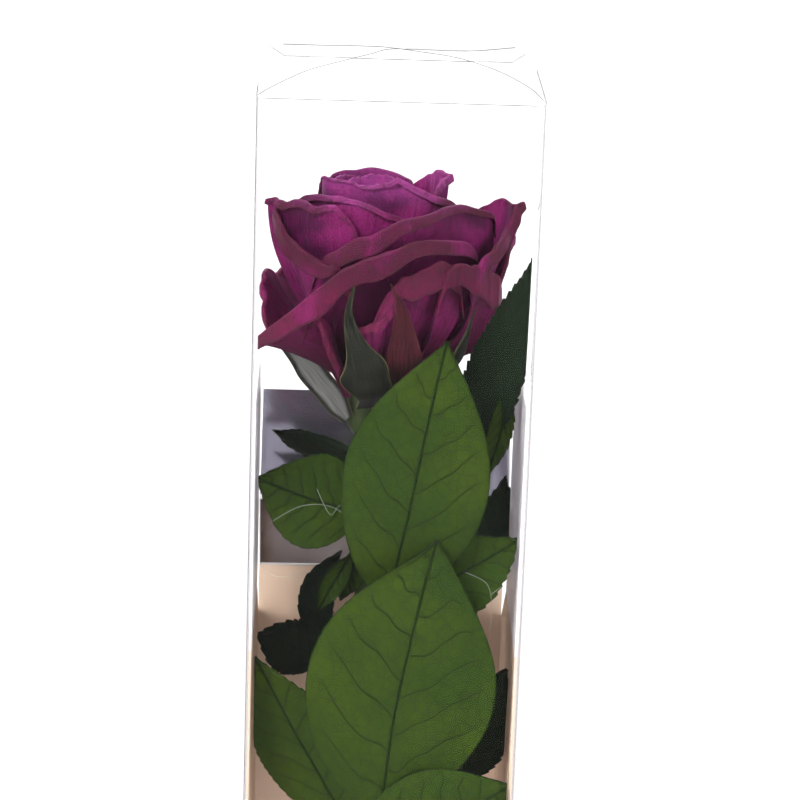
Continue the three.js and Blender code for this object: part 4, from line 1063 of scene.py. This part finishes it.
def make_case(sizes):
    film_material, rim_material = film_paint(), film_rim_paint()
    film = sizes.film / MM
    radius = sizes.corner_radius / MM
    half = HALF - SKIN
    heights = np.linspace(0, WALL_TOP, WALL_LEVELS)
    walls = closed_tube("case_walls", np.array(
        [square_ring(half, radius, z) for z in heights]
        + [square_ring(half - film, radius - film, z) for z in [*heights[:0:-1], film]]), film_material)
    walls.data.materials.append(rim_material)
    for face in walls.data.polygons:
        x, y, z = (abs(c) / MM for c in face.center)
        at_bend, at_top = min(x, y) > HALF - BEND * radius, z > WALL_TOP - SKIN
        face.material_index = int(at_bend or at_top)
    walls.visible_shadow = False
    placed(walls, "case_film", "clear_case")

    def film_flap(name, x, y, z):
        flap = thin_sheet(name, grid(x, y, z), 0.5 * film, film_material, {}, rim_material)
        flap.visible_shadow = False
        placed(flap, "case_film")

    y = np.linspace(-LID_HALF_DEPTH, LID_HALF_DEPTH, FLAP_COLUMNS)[None, :]
    t = np.linspace(0, 1, LID_ROWS)[:, None]
    for name, profile in (("left", LEFT_LID), ("right", RIGHT_LID)):
        x, z = (through([point[k] for point in profile], t) for k in range(2))
        film_flap("lid_flap_" + name, x, y, z)
    t = np.linspace(0, 1, DUST_FLAP_ROWS)[:, None]
    x = np.linspace(-1, 1, FLAP_COLUMNS)[None, :] * (HALF - 2 * GAP - DUST_FLAP_TAPER * t)
    for name, side in (("front", -1), ("back", 1)):
        y = side * (HALF - GAP - (DUST_FLAP_DEPTH - GAP) * t)
        film_flap("dust_flap_" + name, x, y, WALL_TOP - GAP - DUST_FLAP_DROP * t ** 2)


def film_paint():
    paint = Paint("clear film", Transmission_Weight=1.0, IOR=1.12, Base_Color=(1.0, 1.0, 1.0))
    return paint.finish(roughness=0.01 + paint.noise(14, 2) * 0.01)


FILM_EDGE_TONES = (0.34, 0.32, 0.36), (0.62, 0.60, 0.64)


def film_rim_paint():
    """The bends and cut edges of the film carry painted light, a faint grey for a little of the light that
    runs along
    the sheet: the front ones most, then the lid's, and the back ones, seen through more film, hardly at all."""
    paint = Paint("film edge", Roughness=0.4, Specular_IOR_Level=0.3)
    tone = paint.noise(60, 2)
    front = paint.along("Y").ramp(-0.024, -0.031)
    lid = paint.along("Z").ramp(0.401, 0.405)
    alpha = 0.04 + front.most(lid * 0.7) * (0.2 + tone * 0.22)
    return paint.finish(paint.mix(tone, *FILM_EDGE_TONES), Alpha=alpha)


# The studio: a pale floor, soft light and the camera. A light has its place, what it faces and its size, all
# in metres, and its power in watts.
LENS_PIXELS = 2991.6
CAMERA_MM = (-14.5, -739.5, 543.1)
CAMERA_YAW, CAMERA_PITCH, CAMERA_ROLL = math.radians(1.34), math.radians(17.18), math.radians(1.96)
PICTURE = 800
SENSOR = 36.0
LIGHTS = {
    "key": ((-1.1, -1.3, 1.7), (0, 0, 0.3), (0.7, 0.7), 28),
    "fill": ((1.4, -1.0, 0.9), (0, 0, 0.3), (1.0, 1.0), 9),
    "backdrop": ((0, 3.2, 2.6), (0, 3.6, 0), (4.0, 3.0), 100),
}
FLOOR_REACH = 14.0
FLOOR_TONES = (0.96, 0.95, 0.955), (0.98, 0.975, 0.98)


def make_light(name, place, aim, size, power):
    data = bpy.data.lights.new(name, "AREA")
    data.shape = "RECTANGLE"
    data.size, data.size_y = size
    data.energy = power
    light = in_scene(name, data)
    light.location = place
    light.rotation_euler = (Vector(aim) - Vector(place)).to_track_quat("-Z", "Y").to_euler()


def make_camera():
    data = bpy.data.cameras.new("camera")
    data.sensor_width = SENSOR
    data.lens = LENS_PIXELS / PICTURE * SENSOR
    data.clip_start, data.clip_end = 0.05, 60
    camera = in_scene("camera", data)
    ahead = Vector((
        math.sin(CAMERA_YAW) * math.cos(CAMERA_PITCH), math.cos(CAMERA_YAW) * math.cos(CAMERA_PITCH),
        -math.sin(CAMERA_PITCH)))
    level_right = ahead.cross(Vector((0, 0, 1))).normalized()
    level_up = level_right.cross(ahead)
    cosine, sine = math.cos(CAMERA_ROLL), math.sin(CAMERA_ROLL)
    right = cosine * level_right + sine * level_up
    up = -sine * level_right + cosine * level_up
    place = Matrix((right, up, -ahead)).transposed().to_4x4()
    place.translation = Vector(CAMERA_MM) * MM
    camera.matrix_world = place
    bpy.context.scene.camera = camera


def make_stage(sizes):
    r = FLOOR_REACH
    mesh = bpy.data.meshes.new("floor")
    mesh.from_pydata([(-r, -r, 0), (r, -r, 0), (r, r, 0), (-r, r, 0)], [], [(0, 1, 2, 3)])
    paint = Paint("floor", Roughness=0.9, Specular_IOR_Level=0.1)
    mesh.materials.append(paint.finish(paint.mix(paint.noise(0.7, 2), *FLOOR_TONES)))
    in_scene("floor", mesh)
    world = bpy.data.worlds.new("studio")
    world.use_nodes = True
    background = world.node_tree.nodes["Background"]
    feed(world.node_tree, background, {"Color": (1.0, 1.0, 1.0), "Strength": sizes.room_light})
    bpy.context.scene.world = world
    for name, light in LIGHTS.items():
        make_light(name, *light)
    make_camera()
    bpy.context.scene.view_settings.view_transform = "Standard"


# What a user would change, the operators and the panel.
def length(name, description, default):
    return FloatProperty(name=name, description=description, default=default, unit="LENGTH", precision=5)


def tint(name, description, default):
    return FloatVectorProperty(
        name=name, description=description, default=default, size=3, min=0, max=1, subtype="COLOR")


class RoseSizes(bpy.types.PropertyGroup):
    seed: IntProperty(name="Seed", description="Seed of all that grows unevenly", default=40)
    petal_base: length("Petal base", "Thickness of a petal near its foot", 0.00042)
    petal_lip: length("Petal lip", "Thickness of a petal at its lip", 0.00022)
    leaf_thickness: length("Leaf", "Thickness of a leaflet", 0.00032)
    tooth_pitch: length("Tooth pitch", "Distance between two saw teeth of a leaflet", 0.0026)
    stem_radius: length("Stem radius", "Radius of the stem", 0.0023)
    stalk_radius: length("Stalk radius", "Radius of a leaf stalk", 0.0009)
    prickles: IntProperty(name="Prickles", description="How many prickles the stem has", default=14)
    prickle_length: length("Prickle", "Length of a prickle", 0.0032)
    thread_radius: length("Thread radius", "Radius of a thread of glue", 0.00003)
    fold_radius: length("Fold radius", "How far a fold in the card is rounded", 0.0009)
    film: length("Film", "Thickness of the case's film", 0.00035)
    corner_radius: length("Corner radius", "Radius of the case's folded edges", 0.0012)
    room_light: FloatProperty(name="Room light", description="Strength of the light all round", default=0.75)


class RoseColours(bpy.types.PropertyGroup):
    petal_deep: tint("Petal deep", "Shaded tone of a petal", (0.06, 0.004, 0.036))
    petal_bright: tint("Petal bright", "Bright tone of a petal", (0.23, 0.011, 0.117))
    petal_vein: tint("Petal vein", "Fine veins of a petal", (0.022, 0.002, 0.014))
    petal_heart: tint("Petal heart", "Bright tone round the heart", (0.46, 0.07, 0.36))
    petal_low: tint("Petal low", "Maroon tone of the bloom's lower half", (0.23, 0.016, 0.105))
    petal_rim: tint("Petal rim", "Rolled rim of a petal", (0.128, 0.008, 0.042))
    petal_edge: tint("Petal edge", "Last brownish millimetre of a rim", (0.035, 0.006, 0.012))
    leaf: tint("Leaf", "Upper side of a leaf", (0.037, 0.065, 0.005))
    leaf_shade: tint("Leaf shade", "Darker patches of a leaf", (0.025, 0.052, 0.006))
    leaf_rib: tint("Leaf rib", "Midrib, veins and margin", (0.007, 0.015, 0.003))
    leaf_back: tint("Leaf back", "Underside of a leaf", (0.010, 0.018, 0.009))
    dark_leaf: tint("Dark leaf", "Upper side of a shaded leaf", (0.011, 0.018, 0.008))
    sepal_inner: tint("Sepal inside", "Downy inner side of a sepal", (0.22, 0.22, 0.21))
    sepal_outer: tint("Sepal outside", "Outer side of a sepal", (0.0115, 0.0125, 0.0085))
    sepal_margin: tint("Sepal margin", "Fringed margin of a sepal", (0.13, 0.12, 0.045))
    dried: tint("Dried", "Dried sepal and spots of the stem", (0.052, 0.007, 0.013))
    stem: tint("Stem", "Bark of the stem", (0.05, 0.075, 0.02))
    card_low: tint("Card below", "Champagne band of the card", (0.74, 0.55, 0.41))
    card_middle: tint("Card ridge", "Mauve band under the ridge", (0.125, 0.095, 0.092))
    card_high_tint_and_reflection: tint("Card above", "Lavender band above the ridge", (0.30, 0.28, 0.36))
    card_flap: tint("Card flap", "Pale side flaps of the card", (0.94, 0.90, 0.95))


class ROSE_OT_stage(bpy.types.Operator):
    """Make the floor, the lights and the camera"""
    bl_idname = "rose.stage"
    bl_label = "Stage"

    def execute(self, context):
        make_stage(context.scene.rose_sizes)
        return {"FINISHED"}


class ROSE_OT_petals(bpy.types.Operator):
    """Make the bloom's petals"""
    bl_idname = "rose.petals"
    bl_label = "Petals"

    def execute(self, context):
        make_petals(context.scene.rose_sizes, context.scene.rose_colours)
        return {"FINISHED"}


class ROSE_OT_sepals(bpy.types.Operator):
    """Make the sepals around the hip"""
    bl_idname = "rose.sepals"
    bl_label = "Sepals"

    def execute(self, context):
        make_sepals(context.scene.rose_sizes, context.scene.rose_colours)
        return {"FINISHED"}


class ROSE_OT_leaves(bpy.types.Operator):
    """Make the toothed leaflets"""
    bl_idname = "rose.leaves"
    bl_label = "Leaves"

    def execute(self, context):
        make_leaves(context.scene.rose_sizes, context.scene.rose_colours)
        return {"FINISHED"}


class ROSE_OT_stem(bpy.types.Operator):
    """Make the stem, its hip, its prickles and the leaf stalks"""
    bl_idname = "rose.stem"
    bl_label = "Stem"

    def execute(self, context):
        make_stem(context.scene.rose_sizes, context.scene.rose_colours)
        return {"FINISHED"}


class ROSE_OT_threads(bpy.types.Operator):
    """Make the fine threads of glue"""
    bl_idname = "rose.threads"
    bl_label = "Glue threads"

    def execute(self, context):
        make_threads(context.scene.rose_sizes)
        return {"FINISHED"}


class ROSE_OT_card(bpy.types.Operator):
    """Make the folded mirror card"""
    bl_idname = "rose.card"
    bl_label = "Mirror card"

    def execute(self, context):
        make_card(context.scene.rose_sizes, context.scene.rose_colours)
        return {"FINISHED"}


class ROSE_OT_case(bpy.types.Operator):
    """Make the clear film case"""
    bl_idname = "rose.case"
    bl_label = "Film case"

    def execute(self, context):
        make_case(context.scene.rose_sizes)
        return {"FINISHED"}


OPERATORS = (
    ROSE_OT_stage, ROSE_OT_petals, ROSE_OT_sepals, ROSE_OT_leaves, ROSE_OT_stem, ROSE_OT_threads,
    ROSE_OT_card, ROSE_OT_case)


class ROSE_PT_panel(bpy.types.Panel):
    bl_idname = "ROSE_PT_panel"
    bl_label = "Preserved rose"
    bl_space_type = "VIEW_3D"
    bl_region_type = "UI"
    bl_category = "Rose"

    def draw(self, context):
        for operator in OPERATORS:
            self.layout.operator(operator.bl_idname)
        for group in (context.scene.rose_sizes, context.scene.rose_colours):
            column = self.layout.column()
            for key in group.__annotations__:
                column.prop(group, key)


CLASSES = (RoseSizes, RoseColours, *OPERATORS, ROSE_PT_panel)


def register():
    for one in CLASSES:
        bpy.utils.register_class(one)
    bpy.types.Scene.rose_sizes = PointerProperty(type=RoseSizes)
    bpy.types.Scene.rose_colours = PointerProperty(type=RoseColours)


def unregister():
    del bpy.types.Scene.rose_colours
    del bpy.types.Scene.rose_sizes
    for one in reversed(CLASSES):
        bpy.utils.unregister_class(one)


def main():
    register()
    for operator in OPERATORS:
        family, action = operator.bl_idname.split(".")
        getattr(getattr(bpy.ops, family), action)()


if __name__ == "__main__":
    main()
